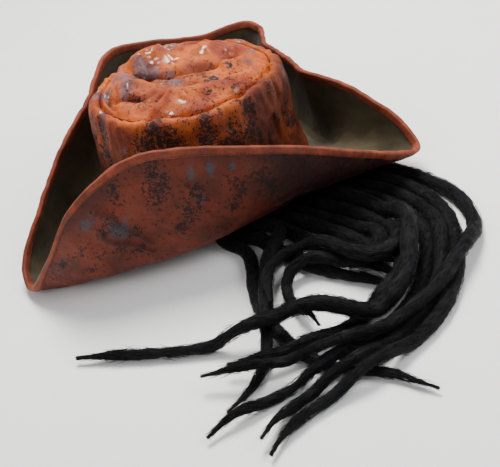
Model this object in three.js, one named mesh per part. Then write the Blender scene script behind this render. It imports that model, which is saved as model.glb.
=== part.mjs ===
// Soft three-cornered hat of faux leather, resting on a table with its felted-yarn locks laid beside it.
// Millimetres, +Z up, -Y is the front corner and +X the wearer's left.
import * as THREE from 'three';

// Crown sizes, outside
const BASE_LENGTH = 202;
const BASE_WIDTH = 173;
const TOP_LENGTH = 164;
const TOP_WIDTH = 133;
const CROWN_HEIGHT = 105;
const REAR_DROP = 9;
const SHOULDER = 6.5;
const TOP_SHIFT_X = -2.5;
const TOP_SHIFT_Y = 1;
const TIP_RISE = 9;
const WELT_HEIGHT = 1.6;
const FOLD_DEPTH = 10;
const CREASE_DEPTH = 4;

// Brim sizes
const SEAT_HEIGHT = 16;
const BRIM_REACH = 110;
const FLAP_HEIGHT = 120;
const DIP = 30;

// Walls and clearances
const CROWN_WALL = 2.2;
const SHELL_WALL = 1.4;
const FACING_WALL = 1.2;
const BINDING_WALL = 1;
const BINDING_LEG = 6;
const GAP = 0.3;
const SEAM_GAP = 0.4;
const SKIRT = 1;

// How the hat sits: it leans back and its underside is pressed flat on the table
const LEAN = THREE.MathUtils.degToRad(3);
const LIFT = 6.3;
const SET_BACK = 21.02;
const SET_ASIDE = 1.84;

// Locks
const TAPE_WIDTH = 17;
const TAPE_THICKNESS = 2.5;
const TAPE_HEIGHT = 30;
const TAPE_GAP = 0.7;
const TAPE_FROM = 58;
const TAPE_TO = 158;
const CORE_SHARE = 0.9;
const LOCK_SIDES = 8;
const STEP_DIAMETERS = 2.1;
const TABLE_GAP = 0.3;
const LOCK_GAP = 0.8;
const DROP = 24;
const DROP_RINGS = 3;
const ROOT = 2;
const ARCH = 42;
const SOFTEN = 5;
const WALK = 3;

// Grid counts
const CROWN_COLUMNS = 54;
const CROWN_SHARES = [0, 0.2, 0.42, 0.62, 0.8, 0.93, 1];
const TIP_COLUMNS = 48;
const BRIM_ROWS = 6;
const COLUMNS_PER_STATION = 3;

// Upright creases of the crown side: where (degrees from the front towards the wearer's left),
// how wide, how deep as a share of CREASE_DEPTH, and the stretch of the height they run along
const SIDE_CREASES = [
  { turn: 24, width: 9, depth: 0.5, from: 0.18, to: 0.8 },
  { turn: 62, width: 12, depth: 0.4, from: 0.18, to: 0.6 },
  { turn: 118, width: 8, depth: 0.8, from: 0.18, to: 0.85 },
  { turn: 140, width: 9, depth: 1, from: 0.18, to: 1 },
  { turn: 163, width: 8, depth: 0.7, from: 0.18, to: 0.8 },
  { turn: 205, width: 11, depth: 0.8, from: 0.18, to: 0.9 },
  { turn: 252, width: 10, depth: 0.6, from: 0.18, to: 0.7 },
  { turn: 310, width: 12, depth: 0.7, from: 0.18, to: 0.9 },
];

// Long soft folds of the crown's top, front to back: across as a share of the half width (+ is the
// wearer's left), bend is how far the middle bows, depth is a share of FOLD_DEPTH (negative stands up)
const TIP_FOLDS = [
  { across: -0.34, bend: 0.1, width: 0.13, depth: 1, from: -0.62, to: 0.5 },
  { across: -0.08, bend: -0.06, width: 0.16, depth: -0.35, from: -0.7, to: 0.7 },
  { across: 0.16, bend: 0.1, width: 0.1, depth: 0.5, from: -0.35, to: 0.8 },
  { across: 0.46, bend: 0.12, width: 0.15, depth: -0.3, from: -0.75, to: 0.6 },
  { across: 0.68, bend: 0.1, width: 0.08, depth: 0.4, from: -0.6, to: 0.45 },
  { across: -0.66, bend: -0.05, width: 0.14, depth: -0.3, from: -0.5, to: 0.6 },
];

// Brim sections, one row for each direction (degrees from the front towards the wearer's left).
// reach and rise place the rim as shares of BRIM_REACH out of the crown's base and of FLAP_HEIGHT up.
// out (of BRIM_REACH) and dip (of DIP) place the first handle from the crown, inset (of BRIM_REACH) and
// low (of FLAP_HEIGHT) the second one below the rim.
const BRIM = [
  { turn: 0, reach: 0.9, rise: -0.067, out: 0.36, dip: 1.17, inset: 0.18, low: -0.22 },
  { turn: 8, reach: 0.78, rise: 0.25, out: 0.36, dip: 1.12, inset: 0.02, low: -0.21 },
  { turn: 18, reach: 0.6, rise: 0.71, out: 0.33, dip: 1.03, inset: -0.13, low: -0.1 },
  { turn: 32, reach: 0.32, rise: 0.96, out: 0.28, dip: 0.8, inset: -0.17, low: -0.02 },
  { turn: 52, reach: 0.23, rise: 0.99, out: 0.21, dip: 0.45, inset: -0.14, low: 0.07 },
  { turn: 78, reach: 0.27, rise: 0.89, out: 0.16, dip: 0.13, inset: -0.1, low: 0.18 },
  { turn: 104, reach: 0.4, rise: 0.69, out: 0.16, dip: 0.03, inset: -0.06, low: 0.2 },
  { turn: 122, reach: 0.68, rise: 0.45, out: 0.25, dip: 0.08, inset: 0.04, low: 0.13 },
  { turn: 131, reach: 0.89, rise: 0.285, out: 0.3, dip: 0.1, inset: 0.15, low: 0.1 },
  { turn: 138, reach: 0.97, rise: 0.22, out: 0.33, dip: 0.13, inset: 0.22, low: 0.06 },
  { turn: 145, reach: 0.8, rise: 0.37, out: 0.28, dip: 0.2, inset: 0.08, low: 0.04 },
  { turn: 155, reach: 0.47, rise: 0.55, out: 0.2, dip: 0.5, inset: -0.04, low: 0 },
  { turn: 167, reach: 0.26, rise: 0.6, out: 0.13, dip: 0.95, inset: -0.1, low: -0.11 },
  { turn: 180, reach: 0.18, rise: 0.605, out: 0.13, dip: 1.02, inset: -0.13, low: -0.11 },
  { turn: 210, reach: 0.54, rise: 0.55, out: 0.27, dip: 0.85, inset: -0.03, low: -0.07 },
  { turn: 222, reach: 1.06, rise: 0.51, out: 0.37, dip: 0.9, inset: 0.19, low: -0.13 },
  { turn: 236, reach: 0.7, rise: 0.61, out: 0.3, dip: 0.55, inset: 0.03, low: 0.02 },
  { turn: 256, reach: 0.41, rise: 0.815, out: 0.2, dip: 0.2, inset: -0.05, low: 0.13 },
  { turn: 282, reach: 0.25, rise: 0.965, out: 0.15, dip: 0.13, inset: -0.07, low: 0.2 },
  { turn: 308, reach: 0.15, rise: 0.79, out: 0.15, dip: 0.3, inset: -0.1, low: 0.17 },
  { turn: 328, reach: 0.29, rise: 0.61, out: 0.24, dip: 0.6, inset: -0.06, low: 0.07 },
  { turn: 342, reach: 0.56, rise: 0.31, out: 0.33, dip: 1.03, inset: -0.06, low: -0.1 },
  { turn: 352, reach: 0.86, rise: 0, out: 0.36, dip: 1.12, inset: 0.08, low: -0.24 },
];

// Locks in the order in which they lie, the lowest first. Each route is seen from above, in
// millimetres from the crown's axis, from where the lock hangs on its band to its free end.
const LOCKS = [
  { diameter: 11, route: [[70.4, -28.5], [83, -25], [95, -19], [110, -14], [130, -12], [152, -9],
    [176, -3], [197, 6], [215, 16], [232, 23], [248, 24]] },
  { diameter: 11, route: [[74.1, -3.7], [87, 1], [100, 5], [116, 9], [136, 12], [160, 17],
    [186, 24], [208, 31], [226, 36], [243, 36]] },
  { diameter: 9.5, route: [[66.5, -39.4], [79, -40], [90, -37], [102, -33], [115, -34], [131, -43],
    [148, -54], [167, -64], [188, -70], [210, -73], [234, -74], [258, -71], [280, -62], [298, -46],
    [314, -35], [328, -31], [343, -25]] },
  { diameter: 10.5, route: [[72.9, -16.7], [85, -12], [97, -5], [110, 1], [122, -2], [131, -15],
    [138, -29], [151, -42], [169, -55], [189, -67], [208, -80], [225, -94], [238, -110],
    [246, -128], [249, -146]] },
  { diameter: 11.5, route: [[42.1, 71], [55, 82], [73, 91], [97, 101], [122, 110], [150, 119],
    [180, 121], [208, 115], [233, 100], [254, 82], [273, 62], [288, 38], [297, 12], [300, -16],
    [300, -42], [298, -68], [296, -94], [295, -116], [298, -132], [305, -146]] },
  { diameter: 11, route: [[50.2, 63.7], [64, 73], [79, 79], [101, 87], [124, 96], [150, 106],
    [178, 109], [206, 103], [228, 90], [246, 73], [263, 54], [276, 32], [284, 8], [287, -18],
    [287, -44], [285, -68], [283, -92], [282, -114], [285, -130], [292, -144]] },
  { diameter: 11, route: [[57.4, 54.6], [71, 62], [84, 67], [102, 73], [124, 82], [148, 91],
    [176, 96], [203, 91], [222, 79], [238, 63], [253, 45], [264, 26], [271, 4], [274, -20],
    [274, -44], [272, -68], [270, -90], [266, -112], [261, -134], [258, -154], [259, -171]] },
  { diameter: 11.5, route: [[73.7, 8.8], [87, 14], [100, 18], [118, 26], [140, 33], [166, 39],
    [192, 44], [214, 49], [232, 46], [244, 32], [248, 12], [249, -10], [249, -32], [247, -54],
    [243, -74], [237, -94], [228, -110], [218, -122]] },
  { diameter: 10.5, route: [[71.8, 21.3], [85, 26], [99, 31], [118, 39], [142, 47], [166, 54],
    [188, 56], [206, 46], [210, 27], [198, 11], [180, 4], [168, -8], [165, -24], [172, -38],
    [189, -44], [210, -46], [228, -49], [241, -52]] },
  { diameter: 12, route: [[67.8, 32.7], [81, 39], [96, 45], [115, 53], [138, 61], [162, 67],
    [187, 69], [210, 63], [223, 48], [221, 30], [207, 17], [188, 13], [170, 11], [156, 2],
    [149, -13], [150, -29], [160, -44], [176, -55], [194, -64]] },
  { diameter: 12, route: [[63.5, 44.3], [77, 51], [90, 57], [104, 63], [124, 71], [148, 79],
    [174, 83], [198, 79], [217, 68], [233, 53], [249, 38], [259, 20], [262, 0], [257, -18],
    [245, -32], [232, -44], [222, -60], [212, -78], [201, -96], [188, -114], [174, -134],
    [157, -154], [140, -172], [124, -188], [109, -206]] },
  { diameter: 10.5, route: [[33.1, 77.1], [46, 90], [63, 101], [87, 113], [114, 125], [146, 135],
    [178, 140], [207, 136], [231, 125], [246, 109], [256, 90], [266, 68], [275, 44], [280, 18],
    [280, -10], [276, -36], [269, -60], [259, -82], [247, -101], [235, -118], [224, -132],
    [214, -144]] },
];

const material = (color, roughness, metalness = 0) =>
  new THREE.MeshStandardMaterial({ color, roughness, metalness });
const CROWN_LEATHER = material('#a8481f', 0.42);
const TIP_LEATHER = material('#b5511f', 0.36);
const SHELL_LEATHER = material('#7c3a26', 0.5);
const OLIVE_CLOTH = material('#3d3626', 0.85);
const BINDING_TAPE = material('#7a3b2c', 0.6);
const YARN = material('#17181a', 0.9);
const CARRIER_TAPE = material('#1c1a18', 0.8);

const clamp01 = (value) => Math.min(1, Math.max(0, value));
const mix = (from, to, share) => from + (to - from) * share;
const smooth = (share) => clamp01(share) ** 2 * (3 - 2 * clamp01(share));

// Places a point of the hat on the table: the hat leans back, is lifted and set back over the origin
function settle(x, y, z) {
  const across = y * Math.cos(LEAN) + z * Math.sin(LEAN) + SET_BACK;
  const up = z * Math.cos(LEAN) - y * Math.sin(LEAN) + LIFT;
  return new THREE.Vector3(x + SET_ASIDE, across, up);
}

// A closed body from sections that follow each other round the hat. Each section is a closed ring of
// points, and rows tells which row of the sheet each of them is on: every quad is split from its lower
// row to the next section's higher row, so that sheets lying on each other are split alike.
function tubeOfSections(sections, rows, meshMaterial, name) {
  const columns = sections.length;
  const count = sections[0].length;
  const positions = sections.flat().flatMap((point) => [point.x, point.y, point.z]);
  const index = [];
  for (let i = 0; i < columns; i += 1) {
    const next = (i + 1) % columns;
    for (let j = 0; j < count; j += 1) {
      const above = (j + 1) % count;
      const a = i * count + j;
      const b = next * count + j;
      const c = next * count + above;
      const d = i * count + above;
      if (rows[above] >= rows[j]) {
        index.push(a, b, c, a, c, d);
      } else {
        index.push(a, b, d, b, c, d);
      }
    }
  }
  return bodyOf(positions, index, meshMaterial, name);
}

// Row numbers of a section that goes out along one face of a sheet and back along the other
function upAndBack(last) {
  const out = Array.from({ length: last + 1 }, (_, j) => j);
  return [...out, ...out.slice().reverse()];
}

// A mesh whose faces point out: the winding is turned where the signed volume comes out negative
function bodyOf(positions, index, meshMaterial, name) {
  let volume = 0;
  const corner = (k) => new THREE.Vector3().fromArray(positions, index[k] * 3);
  for (let k = 0; k < index.length; k += 3) {
    volume += corner(k).dot(corner(k + 1).cross(corner(k + 2)));
  }
  const wound = volume >= 0 ? index : index.slice().reverse();
  const geometry = new THREE.BufferGeometry();
  geometry.setAttribute('position', new THREE.Float32BufferAttribute(positions, 3));
  geometry.setIndex(wound);
  geometry.computeVertexNormals();
  const mesh = new THREE.Mesh(geometry, meshMaterial);
  mesh.name = name;
  return mesh;
}

// Radius of an oval with half length a along Y and half width b along X, in a direction from the front
const ovalRadius = (a, b, turn) => 1 / Math.hypot(Math.sin(turn) / b, Math.cos(turn) / a);
const degreesApart = (a, b) => Math.abs(((a - b + 540) % 360) - 180);

// Height of the top seam: full at the front and lower towards the rear
const seamHeight = (towardsRear) => SEAT_HEIGHT + CROWN_HEIGHT - (REAR_DROP * (1 + towardsRear)) / 2;

// Outside of the crown side at a share of its height: an oval that tapers, swells into a soft
// shoulder and rolls in to the top seam, with the upright creases pressed into it
function crownPoint(turn, share, inwards) {
  const swell = SHOULDER * Math.sin(Math.PI * share ** 3);
  const a = mix(BASE_LENGTH, TOP_LENGTH, share) / 2 + swell;
  const b = mix(BASE_WIDTH, TOP_WIDTH, share) / 2 + swell;
  const degrees = THREE.MathUtils.radToDeg(turn);
  let press = 0;
  for (const crease of SIDE_CREASES) {
    const along = clamp01((share - crease.from) / (crease.to - crease.from));
    const near = Math.exp(-((degreesApart(degrees, crease.turn) / crease.width) ** 2));
    press += CREASE_DEPTH * crease.depth * near * Math.sin(Math.PI * along);
  }
  const radius = ovalRadius(a, b, turn) - press - inwards;
  const z = mix(SEAT_HEIGHT - SKIRT, seamHeight(-Math.cos(turn)), share);
  const shiftX = TOP_SHIFT_X * share;
  const shiftY = TOP_SHIFT_Y * share;
  return settle(radius * Math.sin(turn) + shiftX, -radius * Math.cos(turn) + shiftY, z);
}

function crownSide() {
  const sections = [];
  for (let i = 0; i < CROWN_COLUMNS; i += 1) {
    const turn = (i / CROWN_COLUMNS) * 2 * Math.PI;
    const outside = [];
    const inside = [];
    for (const share of CROWN_SHARES) {
      outside.push(crownPoint(turn, share, 0));
      inside.unshift(crownPoint(turn, share, CROWN_WALL));
    }
    sections.push([...outside, ...inside]);
  }
  return tubeOfSections(sections, upAndBack(CROWN_SHARES.length - 1), CROWN_LEATHER, 'crown_side');
}

// Height of the crown's top over its seam: a low dome, the soft folds, and the welt along the edge
function tipHeight(across, along, radius) {
  const dome = TIP_RISE * (1 - radius ** 2.4);
  const calm = smooth((1 - radius) / 0.16);
  let fold = 0;
  for (const row of TIP_FOLDS) {
    const middle = row.across + row.bend * (1 - along * along);
    const stretch = clamp01((along - row.from) / (row.to - row.from));
    const near = Math.exp(-(((across - middle) / row.width) ** 2));
    fold -= FOLD_DEPTH * row.depth * near * Math.sin(Math.PI * stretch) ** 0.7;
  }
  const welt = WELT_HEIGHT * Math.exp(-(((radius - 0.93) / 0.04) ** 2));
  return dome + fold * calm + welt;
}

// The top piece: a dished oval sheet whose edge sits on the crown side
function crownTip() {
  const radii = [0, 0.24, 0.47, 0.67, 0.84, 0.94, 1];
  const a = TOP_LENGTH / 2;
  const b = TOP_WIDTH / 2;
  const positions = [];
  const place = (radius, turn, drop) => {
    const across = radius * Math.sin(turn);
    const along = -radius * Math.cos(turn);
    const z = seamHeight(along) + GAP + CROWN_WALL + tipHeight(across, along, radius) - drop;
    const edge = ovalRadius(a, b, turn) * radius;
    const point = settle(edge * Math.sin(turn) + TOP_SHIFT_X, -edge * Math.cos(turn) + TOP_SHIFT_Y, z);
    positions.push(point.x, point.y, point.z);
  };
  const rings = radii.length - 1;
  for (const drop of [0, CROWN_WALL]) {
    place(0, 0, drop);
    for (let k = 1; k <= rings; k += 1) {
      for (let i = 0; i < TIP_COLUMNS; i += 1) {
        place(radii[k], (i / TIP_COLUMNS) * 2 * Math.PI, drop);
      }
    }
  }
  const sheet = 1 + rings * TIP_COLUMNS;
  const at = (layer, ring, i) => layer * sheet + 1 + (ring - 1) * TIP_COLUMNS + (i % TIP_COLUMNS);
  const index = [];
  for (let i = 0; i < TIP_COLUMNS; i += 1) {
    index.push(0, at(0, 1, i), at(0, 1, i + 1));
    index.push(sheet, at(1, 1, i + 1), at(1, 1, i));
    for (let k = 1; k < rings; k += 1) {
      index.push(at(0, k, i), at(0, k + 1, i), at(0, k + 1, i + 1));
      index.push(at(0, k, i), at(0, k + 1, i + 1), at(0, k, i + 1));
      index.push(at(1, k, i), at(1, k + 1, i + 1), at(1, k + 1, i));
      index.push(at(1, k, i), at(1, k, i + 1), at(1, k + 1, i + 1));
    }
    index.push(at(0, rings, i), at(1, rings, i), at(1, rings, i + 1));
    index.push(at(0, rings, i), at(1, rings, i + 1), at(0, rings, i + 1));
  }
  return bodyOf(positions, index, TIP_LEATHER, 'crown_tip');
}

// Brim row at any direction: a smooth curve through the table that closes on itself
function brimRow(turn) {
  const count = BRIM.length;
  let k = count - 1;
  while (BRIM[k].turn > turn) {
    k -= 1;
  }
  const row = (i) => BRIM[(i + count) % count];
  const place = (i) => row(i).turn + 360 * Math.floor(i / count);
  const span = place(k + 1) - place(k);
  const t = (turn - place(k)) / span;
  const blend = {};
  for (const column of ['reach', 'rise', 'out', 'dip', 'inset', 'low']) {
    const from = row(k)[column];
    const to = row(k + 1)[column];
    const leave = ((to - row(k - 1)[column]) / (place(k + 1) - place(k - 1))) * span;
    const arrive = ((row(k + 2)[column] - from) / (place(k + 2) - place(k))) * span;
    blend[column] = (2 * t ** 3 - 3 * t ** 2 + 1) * from + (t ** 3 - 2 * t ** 2 + t) * leave
      + (3 * t ** 2 - 2 * t ** 3) * to + (t ** 3 - t ** 2) * arrive;
  }
  return blend;
}

// Underside of the brim: a curve from the crown's base down, out and up to the rim, flat on the table
function undersideColumn(degrees) {
  const row = brimRow(degrees);
  const turn = THREE.MathUtils.degToRad(degrees);
  const start = ovalRadius(BASE_LENGTH / 2, BASE_WIDTH / 2, turn) + SEAM_GAP;
  const end = start + row.reach * BRIM_REACH;
  const top = row.rise * FLAP_HEIGHT;
  const curve = new THREE.CubicBezierCurve(
    new THREE.Vector2(start, SEAT_HEIGHT),
    new THREE.Vector2(start + row.out * BRIM_REACH, SEAT_HEIGHT - row.dip * DIP),
    new THREE.Vector2(end - row.inset * BRIM_REACH, row.low * FLAP_HEIGHT),
    new THREE.Vector2(end, top),
  );
  const legShare = BINDING_LEG / (3 * curve.v2.distanceTo(curve.v3));
  const column = [];
  for (let j = 0; j <= BRIM_ROWS + 1; j += 1) {
    const share = j > BRIM_ROWS ? 1 : (j / BRIM_ROWS) * (1 - legShare);
    const { x: radius, y: z } = curve.getPoint(share);
    const point = settle(radius * Math.sin(turn), -radius * Math.cos(turn), z);
    point.z = Math.max(0, point.z);
    column.push(point);
  }
  return column;
}

// The underside's columns with the direction across the brim at each point
function brimGrid() {
  const columns = [];
  BRIM.forEach((row, i) => {
    const next = i + 1 < BRIM.length ? BRIM[i + 1].turn : 360;
    for (let k = 0; k < COLUMNS_PER_STATION; k += 1) {
      columns.push(undersideColumn(mix(row.turn, next, k / COLUMNS_PER_STATION)));
    }
  });
  const rows = columns[0].length;
  const normals = columns.map((column, i) => column.map((point, j) => {
    const before = columns[(i + columns.length - 1) % columns.length][j];
    const after = columns[(i + 1) % columns.length][j];
    const round = after.clone().sub(before);
    const along = column[Math.min(j + 1, rows - 1)].clone().sub(column[Math.max(j - 1, 0)]);
    return along.cross(round).normalize();
  }));
  return { columns, normals };
}

// One layer of the brim between two distances above the underside
function brimLayer(grid, low, high, meshMaterial, name) {
  const sections = grid.columns.map((column, i) => {
    const lower = column.map((point, j) => point.clone().addScaledVector(grid.normals[i][j], low));
    const upper = column.map((point, j) => point.clone().addScaledVector(grid.normals[i][j], high));
    return [...lower, ...upper.reverse()];
  });
  return tubeOfSections(sections, upAndBack(BRIM_ROWS + 1), meshMaterial, name);
}

// The tape folded over the rim: a channel that holds both layers
function rimBinding(grid) {
  const stack = SHELL_WALL + GAP + FACING_WALL;
  const sections = grid.columns.map((column, i) => {
    const edge = column[column.length - 1];
    const below = column[column.length - 2];
    const outwards = edge.clone().sub(below).normalize();
    const at = (base, j, height, beyond) => base.clone()
      .addScaledVector(grid.normals[i][j], height).addScaledVector(outwards, beyond);
    const last = column.length - 1;
    return [
      at(below, last - 1, -GAP - BINDING_WALL, 0),
      at(edge, last, -GAP - BINDING_WALL, GAP + BINDING_WALL),
      at(edge, last, stack + GAP + BINDING_WALL, GAP + BINDING_WALL),
      at(below, last - 1, stack + GAP + BINDING_WALL, 0),
      at(below, last - 1, stack + GAP, 0),
      at(edge, last, stack + GAP, GAP),
      at(edge, last, -GAP, GAP),
      at(below, last - 1, -GAP, 0),
    ];
  });
  return tubeOfSections(sections, [0, 1, 1, 0, 0, 1, 1, 0], BINDING_TAPE, 'rim_binding');
}

// Point of the crown's wall at a height over the table
function wallAtHeight(turn, height, inwards) {
  let share = 0;
  for (let pass = 0; pass < 4; pass += 1) {
    share += (height - crownPoint(turn, share, inwards).z) / CROWN_HEIGHT;
  }
  return crownPoint(turn, share, inwards);
}

// The carrier band inside the crown's base, level with the table, that the locks are sewn under
function lockTape() {
  const columns = 16;
  const positions = [];
  const index = [];
  const outer = CROWN_WALL + TAPE_GAP;
  const inner = outer + TAPE_WIDTH;
  const top = TAPE_HEIGHT + TAPE_THICKNESS;
  for (let i = 0; i <= columns; i += 1) {
    const turn = THREE.MathUtils.degToRad(mix(TAPE_FROM, TAPE_TO, i / columns));
    const corners = [[TAPE_HEIGHT, outer], [TAPE_HEIGHT, inner], [top, inner], [top, outer]];
    for (const [height, inwards] of corners) {
      const point = wallAtHeight(turn, height, inwards);
      positions.push(point.x, point.y, point.z);
    }
  }
  for (let i = 0; i < columns; i += 1) {
    for (let j = 0; j < 4; j += 1) {
      const a = i * 4 + j;
      const b = i * 4 + ((j + 1) % 4);
      index.push(a, a + 4, b + 4, a, b + 4, b);
    }
  }
  const end = columns * 4;
  index.push(0, 1, 2, 0, 2, 3, end, end + 2, end + 1, end, end + 3, end + 2);
  return bodyOf(positions, index, CARRIER_TAPE, 'lock_tape');
}

// A smooth plan curve near the route's points, as a uniform cubic B-spline that starts at the first
// point and ends at the last, walked in equal steps
function planPath(route) {
  const points = route.map(([x, y]) => new THREE.Vector3(x + SET_ASIDE, y + SET_BACK, 0));
  const last = points.length - 1;
  const before = points[0].clone().multiplyScalar(2).sub(points[1]);
  const after = points[last].clone().multiplyScalar(2).sub(points[last - 1]);
  const all = [before, ...points, after];
  const parts = 16;
  const curve = [];
  const blend = (k, t) => new THREE.Vector3()
    .addScaledVector(all[k], (1 - t) ** 3 / 6)
    .addScaledVector(all[k + 1], (3 * t ** 3 - 6 * t ** 2 + 4) / 6)
    .addScaledVector(all[k + 2], (-3 * t ** 3 + 3 * t ** 2 + 3 * t + 1) / 6)
    .addScaledVector(all[k + 3], t ** 3 / 6);
  for (let k = 0; k < last; k += 1) {
    for (let part = 0; part < parts; part += 1) {
      curve.push(blend(k, part / parts));
    }
  }
  curve.push(blend(last - 1, 1));
  return evenSteps(curve, WALK);
}

// Points of a chain taken again at equal distances close to the wanted step
function evenSteps(chain, step) {
  const distance = [0];
  for (let i = 1; i < chain.length; i += 1) {
    distance.push(distance[i - 1] + chain[i].distanceTo(chain[i - 1]));
  }
  const total = distance[distance.length - 1];
  const count = Math.max(2, Math.round(total / step));
  const points = [];
  let k = 0;
  for (let i = 0; i <= count; i += 1) {
    const wanted = (total * i) / count;
    while (k < chain.length - 2 && distance[k + 1] < wanted) {
      k += 1;
    }
    const share = (wanted - distance[k]) / (distance[k + 1] - distance[k]);
    points.push(chain[k].clone().lerp(chain[k + 1], share));
  }
  return { points, step: total / count, total };
}

// Lays the locks one after another. Each hangs down from the tape in a quarter round, lies on the
// table, and goes over what already lies there in a long low hump.
function layLocks() {
  const laid = [];
  for (const { diameter, route } of LOCKS) {
    const radius = diameter / 2;
    const { points, step } = planPath(route);
    const need = points.map((point) => {
      let height = radius + TABLE_GAP;
      for (const other of laid) {
        const reach = radius + other.radius + LOCK_GAP;
        for (const below of other.points.slice(Math.floor(DROP / WALK) + 1)) {
          const apart = Math.hypot(point.x - below.x, point.y - below.y);
          if (apart < reach) {
            height = Math.max(height, below.z + Math.sqrt(reach * reach - apart * apart));
          }
        }
      }
      return height;
    });
    const humps = points.map((point, i) => Math.max(
      ...need.map((height, j) => height - ((i - j) * step) ** 2 / (2 * ARCH)),
    ));
    points.forEach((point, i) => {
      let weight = 0;
      humps.forEach((height, j) => {
        const share = Math.exp(-0.5 * (((i - j) * step) / SOFTEN) ** 2);
        weight += share;
        point.z += share * height;
      });
      point.z /= weight;
    });
    const drop = TAPE_HEIGHT - GAP - ROOT - points[0].z;
    points.forEach((point, i) => {
      const along = Math.min(i * step, DROP) / DROP;
      point.z += drop * (1 - Math.sqrt(2 * along - along * along));
    });
    laid.push({ radius, points });
  }
  return laid;
}

// A chain of ring centres as a curve, so that a tube along it has a ring at each of them
class RingPath extends THREE.Curve {
  constructor(points) {
    super();
    this.points = points;
  }

  getPoint(share, target = new THREE.Vector3()) {
    const place = share * (this.points.length - 1);
    const k = Math.min(Math.floor(place), this.points.length - 2);
    return target.copy(this.points[k]).lerp(this.points[k + 1], place - k);
  }

  getUtoTmapping(share) {
    return share;
  }
}

// Ring centres of a laid lock: an upright root under the band, then close together down the drop,
// then one every STEP_DIAMETERS
function ringCentres({ radius, points }) {
  const fine = evenSteps(points, 1).points;
  const drop = Math.round((DROP * Math.PI) / 2);
  const rest = fine.length - 1 - drop;
  const steps = Math.round(rest / (2 * radius * STEP_DIAMETERS));
  const centres = [fine[0].clone().setZ(fine[0].z + ROOT)];
  for (let k = 0; k < DROP_RINGS; k += 1) {
    centres.push(fine[Math.round((drop * k) / DROP_RINGS)]);
  }
  for (let k = 0; k <= steps; k += 1) {
    centres.push(fine[drop + Math.round((rest * k) / steps)]);
  }
  return centres;
}

function lockMesh(lock, number) {
  const { radius } = lock;
  const section = new THREE.Shape();
  for (let k = 0; k < LOCK_SIDES; k += 1) {
    const turn = (k / LOCK_SIDES) * 2 * Math.PI;
    const x = radius * CORE_SHARE * Math.cos(turn);
    const y = radius * CORE_SHARE * Math.sin(turn);
    if (k === 0) {
      section.moveTo(x, y);
    } else {
      section.lineTo(x, y);
    }
  }
  const extrudePath = new RingPath(ringCentres(lock));
  const steps = extrudePath.points.length - 1;
  const geometry = new THREE.ExtrudeGeometry(section, { steps, extrudePath, bevelEnabled: false });
  const mesh = new THREE.Mesh(geometry, YARN);
  mesh.name = `dreadlock_${String(number).padStart(2, '0')}`;
  return mesh;
}

const hat = new THREE.Group();
const grid = brimGrid();
hat.add(crownSide(), crownTip());
hat.add(brimLayer(grid, 0, SHELL_WALL, SHELL_LEATHER, 'brim_shell'));
hat.add(brimLayer(grid, SHELL_WALL + GAP, SHELL_WALL + GAP + FACING_WALL, OLIVE_CLOTH, 'brim_facing'));
hat.add(rimBinding(grid));
hat.add(lockTape());
layLocks().forEach((lock, i) => hat.add(lockMesh(lock, i + 1)));

export default hat;
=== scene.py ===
"""Three-cornered hat of mottled faux leather with felted locks lying beside it.

Every shape is worked out in millimetres with numpy and turned into metres when its mesh is made.
+Z is up, -Y is the hat's front corner and +X is the wearer's left.
"""

import math

import bpy
import numpy as np
from mathutils import Matrix, Vector


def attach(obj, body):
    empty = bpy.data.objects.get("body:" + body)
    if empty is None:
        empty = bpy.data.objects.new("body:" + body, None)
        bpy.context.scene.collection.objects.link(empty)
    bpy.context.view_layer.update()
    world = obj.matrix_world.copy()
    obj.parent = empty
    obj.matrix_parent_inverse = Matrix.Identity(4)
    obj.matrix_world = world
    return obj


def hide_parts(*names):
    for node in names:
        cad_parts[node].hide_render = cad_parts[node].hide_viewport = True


bl_info = {
    "name": "Three-cornered hat",
    "version": (1, 0, 0),
    "blender": (4, 5, 0),
    "location": "View3D > Sidebar > Hat",
    "description": "Shapes and finishes a faux leather tricorn hat with felted locks",
    "category": "Add Mesh",
}

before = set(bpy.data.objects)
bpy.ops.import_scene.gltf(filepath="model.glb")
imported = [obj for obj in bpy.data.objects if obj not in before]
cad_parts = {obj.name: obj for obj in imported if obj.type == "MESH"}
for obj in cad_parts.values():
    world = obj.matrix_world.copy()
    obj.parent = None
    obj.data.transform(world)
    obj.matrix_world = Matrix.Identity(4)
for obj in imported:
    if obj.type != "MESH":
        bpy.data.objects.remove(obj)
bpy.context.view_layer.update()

MM = 0.001  # metres in a millimetre

# Sizes shared with the solids, in millimetres
BASE_LENGTH, BASE_WIDTH = 202.0, 173.0
TOP_LENGTH, TOP_WIDTH = 164.0, 133.0
CROWN_HEIGHT, REAR_DROP, SHOULDER = 105.0, 9.0, 6.5
TOP_SHIFT_X, TOP_SHIFT_Y = -2.5, 1.0
SEAT_HEIGHT, SKIRT = 16.0, 1.0
BRIM_REACH, FLAP_HEIGHT, DIP = 110.0, 120.0, 30.0
CROWN_WALL, SHELL_WALL, FACING_WALL = 2.2, 1.4, 1.2
GAP, SEAM_GAP = 0.3, 0.4
LEAN, LIFT, SET_BACK, SET_ASIDE = math.radians(3), 6.3, 21.02, 1.84
TAPE_HEIGHT, ROOT, DROP = 30.0, 2.0, 24.0
TABLE_GAP, LOCK_GAP, ARCH, SOFTEN, WALK = 0.3, 0.8, 42.0, 5.0, 3.0
CREASE_DEPTH = 4.0
STACK = SHELL_WALL + GAP + FACING_WALL

# Depth of the fine wrinkles, in metres, at which the shapes' own numbers hold
DRAWN_WRINKLE = 0.0006

# Shares of the wall's height at which its outside meets the rolled shoulder and its inside ends
SIDE_TOP, INSIDE_TOP = 0.8, 0.92

# The rolled shoulder as two cubic curves, in millimetres out from the top seam and up from it
ROLL_OVER = [(10.3, -21), (9.4, -10), (8.6, 1.2), (4.2, 1.6)]
ROLL_IN = [(4.2, 1.6), (1.7, 1.8), (-0.2, 1.5), (-0.5, -4.5)]

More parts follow.
